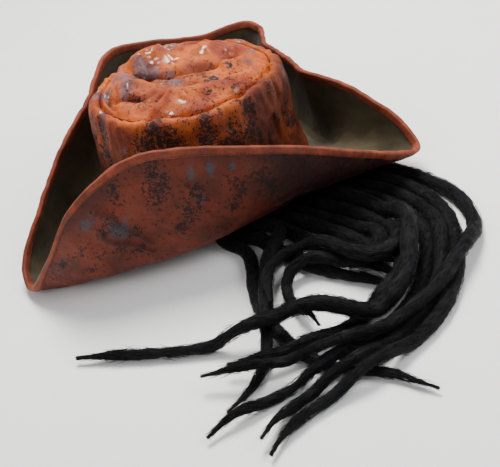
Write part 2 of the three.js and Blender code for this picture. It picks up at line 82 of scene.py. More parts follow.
# How far the top's edge lies inside the seam, and millimetres of a fold for one of its depth in TOP_FOLDS
TOP_INSET, FOLD_GAIN = 0.9, 1.2

# The share at which the brim starts, a little inside the crown's base
BRIM_TUCK = -0.004

# By these the marks and the weave are laid out: the mean radius of the wall; the brim's mean radius, its
# width and the length of a degree round it; and the lengths round the brim and round its rim
WALL_RADIUS, BRIM_RADIUS, BRIM_WIDTH, DEGREE_LENGTH = 80.0, 125.0, 155.0, 2.2
BRIM_ROUND, RIM_ROUND = 1080.0, 1260.0

# Directions at which a length of the binding ends, in degrees
TAPE_JOINS = (216, 126)

# A stitch from end to end: shares of its half length and of its thickness, and its rise; then the radius of
# its thread, its height over the leather or cloth, and how far it lies inside the binding's edge
STITCH = np.array([(-1, 0.12, -0.32), (-0.72, 0.75, 0), (0, 1, 0.16), (0.72, 0.75, 0), (1, 0.12, -0.32)])
THREAD, STITCH_HEIGHT, STITCH_INSET = 0.34, 0.98, 1.25

# Rings of a felted lock: points round it and their distance; how far its fibres reach past its end; and its
# declared diameter over its radius
LOCK_SIDES, LOCK_STEP, FIBRE_BEYOND, FELT_WIDTH = 16, 1.6, 4.5, 2.2

# Large odd numbers that the lattice noise is mixed with
HASH_STEPS = np.array([73856093, 19349663, 83492791])
HASH_SEED, HASH_MIX = 374761393, 1274126177

# The photo's camera: azimuth, elevation and roll in degrees, its place in metres, and its focal length over
# the picture's width; and the width of its sensor in millimetres
CAMERA_TURN, CAMERA_PLACE = (65.498, 38.48, 16.544), (0.7886, -0.3134, 0.6145)
CAMERA_FOCUS, SENSOR = 1084.81 / 500, 36

# Half the table's width, the point that the lights face, and the lights: name, place, size, share of the
# key light's power, and tint
TABLE_HALF, HAT_MIDDLE = 4, (0.03, 0, 0.06)
LIGHTS = [
    ("key_light", (-0.35, 0.3, 1.25), 0.6, 1.0, (1.0, 0.98, 0.95)),
    ("side_light", (0.9, 0.9, 1.1), 0.9, 0.42, (1.0, 1.0, 1.0)),
    ("front_light", (0.5, -1.5, 1.3), 1.2, 0.3, (1.0, 0.99, 0.98)),
]

# Brim sections: direction from the front (degrees), then shares of BRIM_REACH, FLAP_HEIGHT, BRIM_REACH,
# DIP, BRIM_REACH and FLAP_HEIGHT for reach, rise, out, dip, inset and low
BRIM = np.array([
    (0, 0.9, -0.067, 0.36, 1.17, 0.18, -0.22),
    (8, 0.78, 0.25, 0.36, 1.12, 0.02, -0.21),
    (18, 0.6, 0.71, 0.33, 1.03, -0.13, -0.1),
    (32, 0.32, 0.96, 0.28, 0.8, -0.17, -0.02),
    (52, 0.23, 0.99, 0.21, 0.45, -0.14, 0.07),
    (78, 0.27, 0.89, 0.16, 0.13, -0.1, 0.18),
    (104, 0.4, 0.69, 0.16, 0.03, -0.06, 0.2),
    (122, 0.68, 0.45, 0.25, 0.08, 0.04, 0.13),
    (131, 0.89, 0.285, 0.3, 0.1, 0.15, 0.1),
    (138, 0.97, 0.22, 0.33, 0.13, 0.22, 0.06),
    (145, 0.8, 0.37, 0.28, 0.2, 0.08, 0.04),
    (155, 0.47, 0.55, 0.2, 0.5, -0.04, 0),
    (167, 0.26, 0.6, 0.13, 0.95, -0.1, -0.11),
    (180, 0.18, 0.605, 0.13, 1.02, -0.13, -0.11),
    (210, 0.54, 0.55, 0.27, 0.85, -0.03, -0.07),
    (222, 1.06, 0.51, 0.37, 0.9, 0.19, -0.13),
    (236, 0.7, 0.61, 0.3, 0.55, 0.03, 0.02),
    (256, 0.41, 0.815, 0.2, 0.2, -0.05, 0.13),
    (282, 0.25, 0.965, 0.15, 0.13, -0.07, 0.2),
    (308, 0.15, 0.79, 0.15, 0.3, -0.1, 0.17),
    (328, 0.29, 0.61, 0.24, 0.6, -0.06, 0.07),
    (342, 0.56, 0.31, 0.33, 1.03, -0.06, -0.1),
    (352, 0.86, 0, 0.36, 1.12, 0.08, -0.24),
])

# Upright creases of the crown's wall: direction, width in degrees, depth as a share of CREASE_DEPTH,
# and the stretch of the height that they run along
SIDE_CREASES = [
    (24, 9, 0.5, 0.18, 0.8),
    (62, 12, 0.4, 0.18, 0.6),
    (118, 8, 0.8, 0.18, 0.85),
    (140, 9, 1.0, 0.18, 1.0),
    (163, 8, 0.7, 0.18, 0.8),
    (205, 11, 0.8, 0.18, 0.9),
    (252, 10, 0.6, 0.18, 0.7),
    (310, 12, 0.7, 0.18, 0.9),
]

# Soft folds of the crown's top, each a line of points (across and along as shares of the half sizes) with
# its half width in millimetres and its depth, which FOLD_GAIN scales; a negative depth stands up
TOP_FOLDS = [
    ([(-0.58, -0.54), (-0.43, -0.41), (-0.2, -0.29), (-0.1, -0.19), (-0.05, -0.07), (0.01, 0.05),
      (0.14, 0.32), (0.13, 0.51), (0.08, 0.75)], 8.0, 8.0),
    ([(-0.48, -0.44), (-0.37, -0.36), (-0.2, -0.29), (-0.1, -0.19), (-0.04, -0.05)], 2.0, 6.0),
    ([(0.0, 0.02), (0.14, 0.32), (0.13, 0.51), (0.1, 0.7)], 2.4, 3.0),
    ([(-0.32, -0.46), (-0.22, -0.39), (-0.05, -0.36), (0.04, -0.26), (0.06, -0.12)], 3.4, 3.0),
    ([(-0.12, -0.9), (-0.03, -0.83), (0.03, -0.75), (0.14, -0.69), (0.18, -0.55), (0.21, -0.41)], 4.0, 5.0),
    ([(-0.02, -0.82), (0.05, -0.74), (0.15, -0.67)], 1.8, 3.0),
    ([(-0.5, -0.7), (-0.38, -0.76), (-0.14, -0.89), (0.15, -0.98)], 2.4, 4.0),
    ([(0.3, -0.4), (0.38, -0.17), (0.52, 0.03), (0.57, 0.28), (0.48, 0.6)], 6.0, 3.4),
    ([(-0.62, -0.5), (-0.68, -0.15), (-0.6, 0.15)], 13.0, -10.0),
    ([(-0.42, 0.42), (-0.2, 0.62), (0.05, 0.76)], 12.0, -5.0),
    ([(-0.22, -0.72), (-0.08, -0.6)], 9.0, -5.5),
    ([(0.55, -0.44), (0.66, -0.14), (0.74, 0.19), (0.72, 0.42)], 8.0, -4.0),
    ([(0.28, 0.35), (0.3, 0.7)], 9.0, -3.0),
    ([(0.6, -0.76), (0.54, -0.65), (0.44, -0.46), (0.42, -0.2)], 4.0, -3.2),
    ([(0.3, -0.86), (0.38, -0.66), (0.32, -0.5)], 5.0, 2.4),
    ([(-0.82, 0.2), (-0.6, 0.32), (-0.4, 0.22)], 5.0, 2.5),
]

# Locks in the order in which they lie: diameter, and the route seen from above, in millimetres from the
# crown's axis, from where the lock hangs on its band to its free end
LOCKS = [
    (11, [(70.4, -28.5), (83, -25), (95, -19), (110, -14), (130, -12), (152, -9), (176, -3), (197, 6),
          (215, 16), (232, 23), (248, 24)]),
    (11, [(74.1, -3.7), (87, 1), (100, 5), (116, 9), (136, 12), (160, 17), (186, 24), (208, 31),
          (226, 36), (243, 36)]),
    (9.5, [(66.5, -39.4), (79, -40), (90, -37), (102, -33), (115, -34), (131, -43), (148, -54),
           (167, -64), (188, -70), (210, -73), (234, -74), (258, -71), (280, -62), (298, -46), (314, -35),
           (328, -31), (343, -25)]),
    (10.5, [(72.9, -16.7), (85, -12), (97, -5), (110, 1), (122, -2), (131, -15), (138, -29), (151, -42),
            (169, -55), (189, -67), (208, -80), (225, -94), (238, -110), (246, -128), (249, -146)]),
    (11.5, [(42.1, 71), (55, 82), (73, 91), (97, 101), (122, 110), (150, 119), (180, 121), (208, 115),
            (233, 100), (254, 82), (273, 62), (288, 38), (297, 12), (300, -16), (300, -42), (298, -68),
            (296, -94), (295, -116), (298, -132), (305, -146)]),
    (11, [(50.2, 63.7), (64, 73), (79, 79), (101, 87), (124, 96), (150, 106), (178, 109), (206, 103),
          (228, 90), (246, 73), (263, 54), (276, 32), (284, 8), (287, -18), (287, -44), (285, -68),
          (283, -92), (282, -114), (285, -130), (292, -144)]),
    (11, [(57.4, 54.6), (71, 62), (84, 67), (102, 73), (124, 82), (148, 91), (176, 96), (203, 91),
          (222, 79), (238, 63), (253, 45), (264, 26), (271, 4), (274, -20), (274, -44), (272, -68),
          (270, -90), (266, -112), (261, -134), (258, -154), (259, -171)]),
    (11.5, [(73.7, 8.8), (87, 14), (100, 18), (118, 26), (140, 33), (166, 39), (192, 44), (214, 49),
            (232, 46), (244, 32), (248, 12), (249, -10), (249, -32), (247, -54), (243, -74), (237, -94),
            (228, -110), (218, -122)]),
    (10.5, [(71.8, 21.3), (85, 26), (99, 31), (118, 39), (142, 47), (166, 54), (188, 56), (206, 46),
            (210, 27), (198, 11), (180, 4), (168, -8), (165, -24), (172, -38), (189, -44), (210, -46),
            (228, -49), (241, -52)]),
    (12, [(67.8, 32.7), (81, 39), (96, 45), (115, 53), (138, 61), (162, 67), (187, 69), (210, 63),
          (223, 48), (221, 30), (207, 17), (188, 13), (170, 11), (156, 2), (149, -13), (150, -29),
          (160, -44), (176, -55), (194, -64)]),
    (12, [(63.5, 44.3), (77, 51), (90, 57), (104, 63), (124, 71), (148, 79), (174, 83), (198, 79),
          (217, 68), (233, 53), (249, 38), (259, 20), (262, 0), (257, -18), (245, -32), (232, -44),
          (222, -60), (212, -78), (201, -96), (188, -114), (174, -134), (157, -154), (140, -172),
          (124, -188), (109, -206)]),
    (10.5, [(33.1, 77.1), (46, 90), (63, 101), (87, 113), (114, 125), (146, 135), (178, 140), (207, 136),
            (231, 125), (246, 109), (256, 90), (266, 68), (275, 44), (280, 18), (280, -10), (276, -36),
            (269, -60), (259, -82), (247, -101), (235, -118), (224, -132), (214, -144)]),
]

# Marks of the leather as (place, place, radius in millimetres, strength): direction and share of the
# height on the crown's wall, across and along on its top, direction and share from crown to rim on the brim
WALL_STAINS = [
    (2, 0.84, 8, 1.0), (0, 0.66, 9, 1.0), (6, 0.5, 9, 0.8), (28, 0.78, 8, 0.8), (41, 0.94, 6, 1.0),
    (37, 0.86, 8, 1.0), (40, 0.76, 9, 1.0), (50, 0.83, 9, 1.0), (58, 0.96, 4, 0.9), (48, 0.72, 8, 0.8),
    (72, 0.92, 8, 1.0), (69, 0.8, 9, 1.0), (74, 0.7, 10, 1.0), (83, 0.94, 4, 0.9), (98, 0.95, 4, 1.0),
    (87, 0.82, 7, 0.8), (104, 0.88, 7, 1.0), (100, 0.77, 8, 0.9), (126, 0.9, 6, 1.0),
    (104, 0.66, 10, 0.8), (88, 0.66, 12, 1.0), (124, 0.68, 8, 0.9), (152, 0.86, 6, 0.9),
    (142, 0.62, 9, 1.0), (145, 0.45, 10, 1.0), (133, 0.78, 6, 0.8), (114, 0.55, 9, 0.9),
    (55, 0.6, 12, 1.0), (20, 0.55, 10, 0.9), (165, 0.6, 10, 0.9), (345, 0.7, 12, 0.8),
    (318, 0.5, 16, 1.0), (290, 0.7, 12, 0.8), (262, 0.55, 14, 1.0), (236, 0.72, 11, 0.8),
    (210, 0.6, 14, 1.0), (186, 0.66, 12, 0.9), (66, 0.24, 15, 0.8), (130, 0.25, 14, 0.8),
    (30, 0.1, 12, 0.7), (250, 0.2, 14, 0.8), (330, 0.15, 12, 0.8),
]
WALL_BLOOMS = [
    (0, 1.0, 8, 0.9), (4, 0.92, 6, 0.8), (20, 0.8, 6, 0.7), (43, 1.01, 4, 0.9), (128, 0.99, 6, 0.8),
    (80, 1.02, 5, 0.6), (112, 1.0, 5, 0.6), (150, 1.0, 8, 0.6), (14, 0.6, 7, 0.6), (200, 0.95, 12, 0.7),
    (300, 0.95, 12, 0.8), (335, 0.98, 10, 0.9), (250, 0.98, 10, 0.6),
]
TOP_STAINS = [
    (0.51, 0.18, 5, 0.9), (0.38, 0.44, 4, 0.8), (-0.3, -0.34, 5, 0.7), (-0.08, -0.14, 5, 0.6),
    (0.12, -0.72, 6, 0.8), (0.34, 0.1, 9, 0.45), (0.2, -0.05, 7, 0.4), (0.78, -0.06, 4, 0.6),
    (0.8, 0.3, 5, 0.5), (0.24, -0.66, 6, 0.5), (0.1, 0.3, 5, 0.4), (0.6, 0.5, 5, 0.4),
]
TOP_BLOOMS = [
    (-0.37, -0.59, 11, 1.0), (-0.52, -0.34, 9, 1.0), (-0.32, -0.25, 8, 1.0), (-0.14, -0.12, 6, 1.0),
    (-0.1, -0.64, 7, 1.0), (-0.02, -0.74, 6, 0.8), (0.23, -0.24, 8, 0.9), (0.1, -0.32, 7, 0.8),
    (0.4, 0.67, 7, 1.0), (0.38, 0.44, 4, 0.9), (0.51, 0.18, 5, 0.9), (-0.8, 0.3, 10, 0.9),
    (-0.86, 0.0, 9, 0.8), (-0.56, 0.02, 7, 0.6), (0.1, 0.86, 8, 0.8), (-0.3, -0.86, 9, 1.0),
    (-0.6, -0.66, 8, 0.9), (0.34, 0.12, 7, 0.4), (-0.2, 0.36, 5, 0.35), (-0.06, 0.61, 6, 0.5),
]
TOP_GLOSS = [
    (-0.63, 0.13, 8, 1.0), (-0.52, -0.2, 9, 1.0), (-0.19, 0.36, 7, 1.0), (-0.34, 0.03, 6, 0.9),
    (-0.1, -0.61, 7, 1.0), (-0.4, -0.4, 7, 1.0), (0.77, -0.11, 4, 0.9), (0.67, -0.41, 4, 0.8),
    (0.71, -0.64, 4, 0.9), (0.1, -0.32, 6, 0.8), (-0.8, 0.3, 8, 0.6), (0.02, 0.6, 5, 0.6),
    (-0.3, -0.84, 6, 0.9), (0.9, 0.25, 4, 0.7), (0.3, 0.1, 5, 0.5),
]
# Broad soft darker patches of the top, which share one attribute with the painted shade of the wall and brim
TOP_DARKENING = [(-0.3, -0.5, 16, 0.4), (0.2, -0.2, 12, 0.35), (-0.7, 0.2, 16, 0.35), (0.3, 0.1, 12, 0.3)]
WALL_GLOSS = [
    (0, 1.0, 7, 0.9), (43, 1.01, 4, 0.8), (112, 1.0, 4, 0.9), (80, 1.02, 4, 0.7), (128, 0.99, 5, 0.7),
    (110, 0.4, 8, 0.7), (20, 0.8, 6, 0.4), (330, 0.97, 9, 0.8), (250, 0.97, 9, 0.6), (200, 0.9, 9, 0.5),
]
BRIM_STAINS = [
    (30, 0.94, 7, 0.9), (43, 0.97, 8, 0.8), (42, 0.87, 9, 0.9), (47, 0.91, 8, 0.9), (50, 0.7, 8, 1.0),
    (55, 0.79, 11, 1.0), (59, 0.85, 7, 0.9), (72, 0.72, 8, 0.8), (76, 0.8, 9, 0.9), (73, 0.88, 7, 0.7),
    (86, 0.87, 10, 1.0), (88, 0.76, 12, 0.9), (100, 0.82, 12, 1.0), (94, 0.62, 12, 0.9),
    (107, 0.66, 12, 1.0), (111, 0.82, 11, 1.0), (119, 0.8, 10, 1.0), (12, 0.87, 5, 1.0),
    (18, 0.82, 5, 0.9), (19, 0.68, 5, 0.8), (22, 0.74, 4, 0.8), (32, 0.65, 8, 1.0), (27, 0.72, 5, 0.9),
    (26, 0.85, 6, 1.0), (33, 0.77, 5, 0.9), (8, 0.9, 6, 0.7), (38, 0.5, 9, 0.6), (64, 0.55, 12, 0.6),
    (98, 0.4, 14, 0.8), (124, 0.6, 12, 0.9), (135, 0.75, 10, 0.8), (12, 0.45, 12, 0.7),
    (344, 0.7, 14, 0.9), (322, 0.5, 16, 0.9), (300, 0.72, 14, 0.9), (280, 0.5, 16, 1.0),
    (258, 0.74, 14, 0.9), (236, 0.5, 16, 1.0), (222, 0.72, 16, 0.9), (206, 0.5, 14, 0.9),
    (190, 0.74, 14, 0.9), (170, 0.6, 14, 0.9), (152, 0.7, 14, 0.9), (310, 0.9, 10, 0.8),
    (245, 0.9, 10, 0.8), (200, 0.92, 9, 0.7), (290, 0.86, 9, 0.7),
]
BRIM_BLOOMS = [
    (58, 0.92, 5, 1.0), (66, 0.93, 6, 1.0), (75, 0.93, 4, 0.9), (22, 0.91, 7, 0.8), (30, 0.79, 7, 1.0),
    (60, 0.82, 5, 0.7), (27, 0.83, 6, 0.8), (82, 0.92, 4, 0.6), (35, 0.88, 7, 0.4), (240, 0.8, 14, 0.7),
    (280, 0.84, 12, 0.8), (320, 0.75, 12, 0.7), (180, 0.8, 12, 0.7), (210, 0.8, 12, 0.7),
]

# Pressed lines of the brim's leather, as directions and shares from crown to rim, with half width and depth
BRIM_CREASES = [
    ([(22, 0.95), (27, 0.88), (30, 0.81), (34, 0.75), (39, 0.64)], 1.6, 3.0),
    ([(23, 0.88), (27, 0.77), (32, 0.7), (38, 0.56)], 1.6, 2.8),
    ([(36, 0.9), (42, 0.8), (48, 0.7), (52, 0.6)], 2.6, 1.0),
    ([(56, 0.86), (62, 0.74), (64, 0.6)], 3.0, 0.9),
    ([(88, 0.54), (102, 0.6), (118, 0.54)], 2.6, 1.3),
    ([(205, 0.5), (222, 0.56), (238, 0.48)], 3.0, 1.8),
    ([(262, 0.42), (280, 0.5), (300, 0.46)], 3.0, 1.6),
    ([(324, 0.6), (336, 0.46), (348, 0.4)], 2.6, 1.6),
    ([(160, 0.5), (176, 0.44), (192, 0.5)], 2.6, 1.6),
]


# Properties

def colour(name, description, default):
    """A colour that the sidebar shows."""
    return bpy.props.FloatVectorProperty(
        name=name, description=description, subtype="COLOR", size=3, default=default)


def length(name, description, default, low, high):
    """A length in metres that the sidebar shows."""
    return bpy.props.FloatProperty(
        name=name, description=description, unit="LENGTH", default=default, min=low, max=high)


class LeatherLook(bpy.types.PropertyGroup):
    """Colours and wrinkles of the faux leather"""

    orange: colour("Orange", "Light tone of the crown", (0.5, 0.098, 0.007))
    rust: colour("Rust", "Dark tone of the crown", (0.22, 0.028, 0.006))
    stain: colour("Stain", "Dark blotches", (0.012, 0.0035, 0.003))
    bloom: colour("Bloom", "Grey-purple patches", (0.15, 0.078, 0.09))
    oxblood: colour("Oxblood", "Light tone of the brim", (0.15, 0.023, 0.008))
    umber: colour("Umber", "Dark tone of the brim", (0.08, 0.014, 0.006))
    slate: colour("Slate", "Blue-grey patches of the brim", (0.042, 0.042, 0.055))
    lining: colour("Back", "Back of the leather inside the crown", (0.035, 0.028, 0.022))
    wrinkle: length("Wrinkles", "Depth of the fine wrinkles", DRAWN_WRINKLE, 0, 0.003)


class BrimLook(bpy.types.PropertyGroup):
    """Cloth, binding and stitches of the brim"""

    olive: colour("Olive", "Cloth on the upper side of the brim", (0.046, 0.034, 0.015))
    tape: colour("Tape", "Binding tape", (0.2, 0.042, 0.02))
    thread: colour("Thread", "Stitching", (0.1, 0.024, 0.014))
    leg: length("Binding width", "Width of the binding on each side", 0.0062, 0.003, 0.012)
    pitch: length("Stitch pitch", "Distance between stitches", 0.0036, 0.002, 0.01)
    stitch: length("Stitch length", "Length of one stitch", 0.0026, 0.001, 0.008)


class LockLook(bpy.types.PropertyGroup):
    """Felted locks"""

    yarn: colour("Yarn", "Colour of the felted yarn", (0.002, 0.002, 0.0026))
    fibre: length("Fibre length", "Length of the loose fibres", 0.007, 0.001, 0.02)
    density: bpy.props.FloatProperty(
        name="Fibres per metre", description="Loose fibres along each metre of a lock", default=4300,
        min=0, max=20000)
    wisp: length("Frayed end", "Length over which a lock thins out at its end", 0.042, 0.01, 0.1)


class StageLook(bpy.types.PropertyGroup):
    """Table and lights"""

    floor: colour("Floor", "Colour of the table", (0.95, 0.95, 0.95))
    key: bpy.props.FloatProperty(
        name="Key light", description="Power of the main light", unit="POWER", default=36, min=0, max=500)
    sky: bpy.props.FloatProperty(
        name="Ambient", description="Strength of the surrounding light", default=0.28, min=0, max=10)


# Numbers and shapes

def smooth(share):
    """3t^2 - 2t^3 with t held between 0 and 1."""
    t = np.clip(share, 0, 1)
    return t * t * (3 - 2 * t)


def mix(low, high, share):
    """Straight blend from low at share 0 to high at share 1."""
    return low + (high - low) * share


def cubic(a, b, c, d, t):
    """Cubic curve from a to d that leaves towards b and arrives from c."""
    return (1 - t)**3 * a + 3 * (1 - t)**2 * t * b + 3 * (1 - t) * t**2 * c + t**3 * d


def apart(a, b):
    """Difference of two directions in degrees, from -180 to 180."""
    return (a - b + 180) % 360 - 180


def near(degrees, middle, width):
    """Bell curve round a direction: exp(-(difference / width)^2)."""
    return np.exp(-(apart(degrees, middle) / width)**2)


def ends_off(along, part):
    """1 along a line, and smoothly down to 0 over that part of it at both ends."""
    return smooth(along / part) * smooth((1 - along) / part)


def unit(v):
    """Vectors scaled to length 1."""
    return v / np.maximum(np.linalg.norm(v, axis=-1, keepdims=True), 1e-9)


def travel(chain):
    """Distance travelled along a chain of points, from 0 at its first."""
    return np.concatenate([[0], np.cumsum(np.linalg.norm(np.diff(chain, axis=0), axis=1))])


def resample(at, travelled, values):
    """Columns of values at other distances, straight between the known ones."""
    return np.stack([np.interp(at, travelled, column) for column in values.T], -1)


def settle(x, y, z):
    """Places points of the hat on the table: a turn by LEAN about X, a lift, a step back and one aside."""
    across = y * math.cos(LEAN) + z * math.sin(LEAN) + SET_BACK
    up = z * math.cos(LEAN) - y * math.sin(LEAN) + LIFT
    return np.stack([x + SET_ASIDE + 0 * across, across, up], -1)


def oval(a, b, turn):
    """Radius of an ellipse with half length a along Y and half width b along X, in a direction from -Y."""
    return 1 / np.hypot(np.sin(turn) / b, np.cos(turn) / a)


def around(radius, turn):
    """X and Y of a point at a radius, in a direction from -Y."""
    return radius * np.sin(turn), -radius * np.cos(turn)


def lattice(points, size, seed):
    """Random values from -1 to 1 on a cubic lattice of that size, blended by 3t^2 - 2t^3 between its corners.

    A corner's value is its hash: its whole numbers and the seed, each times a large number, joined by
    exclusive or and mixed by shifts and one more product.
    """
    place = np.asarray(points, float) / size
    cell = np.floor(place).astype(np.int64)
    part = smooth(place - cell)
    total = np.zeros(place.shape[:-1])
    for corner in np.ndindex(2, 2, 2):
        c = (cell + np.array(corner)) * HASH_STEPS
        h = c[..., 0] ^ c[..., 1] ^ c[..., 2] ^ (seed * HASH_SEED)
        h = (h ^ (h >> 13)) * HASH_MIX & 0xFFFFFFFF
        h = (h ^ (h >> 16)) & 0xFFFF
        weight = np.prod(np.where(np.array(corner) == 1, part, 1 - part), -1)
        total += weight * (h / (0xFFFF / 2) - 1)
    return total


def rough(points, size, octaves, seed):
    """Sum of lattice noises, each half the size and half the height of the one before."""
    return sum(lattice(points, size / 2**k, seed + k) / 2**k for k in range(octaves))


def folded(points, size, seed):
    """Soft ridges with narrow valleys between them: 1 - 2.4 |noise|."""
    return 1 - 2.4 * np.abs(rough(points, size, 2, seed))


def line_distance(x, y, line):
    """Distance of each point (x, y) to the nearest stretch of a line of points, and how far along it is."""
    best = np.full(np.shape(x), np.inf)
    along = np.zeros(np.shape(x))
    for k in range(len(line) - 1):
        (ax, ay), (bx, by) = line[k], line[k + 1]
        dx, dy = bx - ax, by - ay
        t = np.clip(((x - ax) * dx + (y - ay) * dy) / (dx**2 + dy**2), 0, 1)
        d = np.hypot(x - ax - t * dx, y - ay - t * dy)
        nearer = d < best
        best = np.where(nearer, d, best)
        along = np.where(nearer, (k + t) / (len(line) - 1), along)
    return best, along


def spots(marks, place):
    """Sum of round soft marks: strength times exp(-(distance / radius)^2), where place gives the distance."""
    total = 0
    for u, v, radius, strength in marks:
        total = total + strength * np.exp(-(place(u, v) / radius)**2)
    return np.clip(total, 0, 1)


# Meshes

def new_mesh(name, verts, faces, look, uv=None, **values):
    """Makes an object of points in millimetres and groups of faces, with its faces outwards.

    The volume that the faces enclose decides which way they point. Named arrays become point attributes.
    """
    verts = np.ascontiguousarray(verts.reshape(-1, 3)) * MM
    volume = sum(
        np.einsum("ij,ij->", verts[g[:, 0]], np.cross(verts[g[:, k]], verts[g[:, k + 1]]))
        for g in faces for k in range(1, g.shape[1] - 1))
    if volume < 0:
        faces = [g[:, ::-1] for g in faces]
        uv = None if uv is None else uv[:, ::-1]
    corners = np.concatenate([g.ravel() for g in faces])
    sides = np.concatenate([np.full(len(g), g.shape[1]) for g in faces])
    mesh = bpy.data.meshes.new(name)
    mesh.vertices.add(len(verts))
    mesh.vertices.foreach_set("co", verts.ravel())
    mesh.loops.add(len(corners))
    mesh.loops.foreach_set("vertex_index", corners.astype(np.int32))
    mesh.polygons.add(len(sides))
    mesh.polygons.foreach_set("loop_start", (np.cumsum(sides) - sides).astype(np.int32))
    mesh.polygons.foreach_set("use_smooth", np.ones(len(sides), bool))
    if uv is not None:
        layer = mesh.uv_layers.new(name="UVMap")
        layer.data.foreach_set("uv", uv.astype(np.float32).ravel())
    for key, value in values.items():
        kind, field = ("FLOAT_VECTOR", "vector") if value.size == verts.size else ("FLOAT", "value")
        attribute = mesh.attributes.new(key, kind, "POINT")
        attribute.data.foreach_set(field, np.ascontiguousarray(value, np.float32).ravel())
    mesh.update(calc_edges=True)
    mesh.validate()
    obj = bpy.data.objects.new(name, mesh)
    bpy.context.scene.collection.objects.link(obj)
    obj.data.materials.append(look)
    return obj


def ring_faces(columns, rows, wrap_rows=True):
    """Quads of a grid of columns x rows that closes round its columns, and round its rows if asked."""
    i = np.arange(columns)[:, None]
    j = np.arange(rows if wrap_rows else rows - 1)[None, :]
    here, after = i * rows, (i + 1) % columns * rows
    corners = (here + j, after + j, after + (j + 1) % rows, here + (j + 1) % rows)
    return np.stack(corners, -1).reshape(-1, 4)


def ring_uv(columns, rows, width, heights):
    """UV corners for ring_faces, in metres: width round the columns and heights along the rows."""
    heights = np.append(heights, heights[-1]) * MM
    step = width * MM / columns
    left = np.arange(columns)[:, None] * step + np.zeros(rows)
    low, high = heights[:-1] + 0 * left, heights[1:] + 0 * left
    corners = [(left, low), (left + step, low), (left + step, high), (left, high)]
    return np.stack([np.stack(c, -1) for c in corners], -2).reshape(-1, 4, 2)


def tube_faces(stations, sides):
    """Quads between rings of points that follow one another, and a cap on each end."""
    i = np.arange(stations - 1)[:, None] * sides
    j = np.arange(sides)[None, :]
    k = (j + 1) % sides
    quads = np.stack([i + j, i + k, i + sides + k, i + sides + j], -1).reshape(-1, 4)
    return quads, np.stack([j[0, ::-1], (stations - 1) * sides + j[0]])


def repeated(groups, count, points, start=0):
    """The same groups of faces for each of many like bodies whose points follow one another."""
    shift = start + (np.arange(count) * points)[:, None, None]
    return [(g[None] + shift).reshape(-1, g.shape[1]) for g in groups]


def keep(obj, slot, *nodes):
    """Lets a piece ride on the hat and stand for its solids; slot is not used."""
    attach(obj, "root")
    if nodes:
        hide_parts(*nodes)
    return obj


# Crown

def seam_height(towards_rear):
    """Height of the top seam: full at the front, lower by REAR_DROP at the rear, straight between."""
    return SEAT_HEIGHT + CROWN_HEIGHT - REAR_DROP * (1 + towards_rear) / 2


def wall_press(degrees, share):
    """Depth of the upright creases: a bell curve across each and half a sine wave along it."""
    press = 0
    for middle, width, depth, low, high in SIDE_CREASES:
        along = np.clip((share - low) / (high - low), 0, 1)
        press = press + CREASE_DEPTH * depth * near(degrees, middle, width) * np.sin(np.pi * along)
    return press


def wall_point(turn, share, inwards):
    """Crown wall at a share of its height: a tapering ellipse that swells by SHOULDER * sin(pi * share^3)."""
    swell = SHOULDER * np.sin(np.pi * share**3)
    a = mix(BASE_LENGTH, TOP_LENGTH, share) / 2 + swell
    b = mix(BASE_WIDTH, TOP_WIDTH, share) / 2 + swell
    x, y = around(oval(a, b, turn) - wall_press(np.degrees(turn), share) - inwards, turn)
    z = mix(SEAT_HEIGHT - SKIRT, seam_height(-np.cos(turn)), share)
    return settle(x + TOP_SHIFT_X * share, y + TOP_SHIFT_Y * share, z)


def roll_point(turn, out, up):
    """Point beside the top seam: out from the seam's ellipse and up from its height."""
    x, y = around(oval(TOP_LENGTH / 2 + out, TOP_WIDTH / 2 + out, turn), turn)
    return settle(x + TOP_SHIFT_X, y + TOP_SHIFT_Y, seam_height(-np.cos(turn)) + up)


def rim_wave(turn):
    """How far the soft upper edge strays from its seam height: small waves, sunk at the rear and far side."""
    degrees = np.degrees(turn)
    waves = 0.7 * np.sin(3 * turn + 1.0) + 0.5 * np.sin(7 * turn + 2.2) + 0.35 * np.sin(13 * turn)
    return waves - 4.0 * near(degrees, 185, 42) - 1.6 * near(degrees, 285, 40)


def crown_grids(turn):
    """Section of the wall in each direction: up the outside, over the rolled shoulder, down the inside."""
    side = wall_point(turn, np.linspace(0, SIDE_TOP, 62)[None, :], 0)
    parts = [cubic(*np.array(curve), np.linspace(0, 1, count)[1:, None])
             for curve, count in ((ROLL_OVER, 15), (ROLL_IN, 9))]
    out, up = np.concatenate(parts).T[:, None, :]
    lift = smooth((up - ROLL_OVER[0][1]) / 20) * rim_wave(turn)
    roll = roll_point(turn, out, up + lift)
    inside = wall_point(turn, np.linspace(INSIDE_TOP, 0, 22)[None, :], CROWN_WALL)
    return side, roll, inside


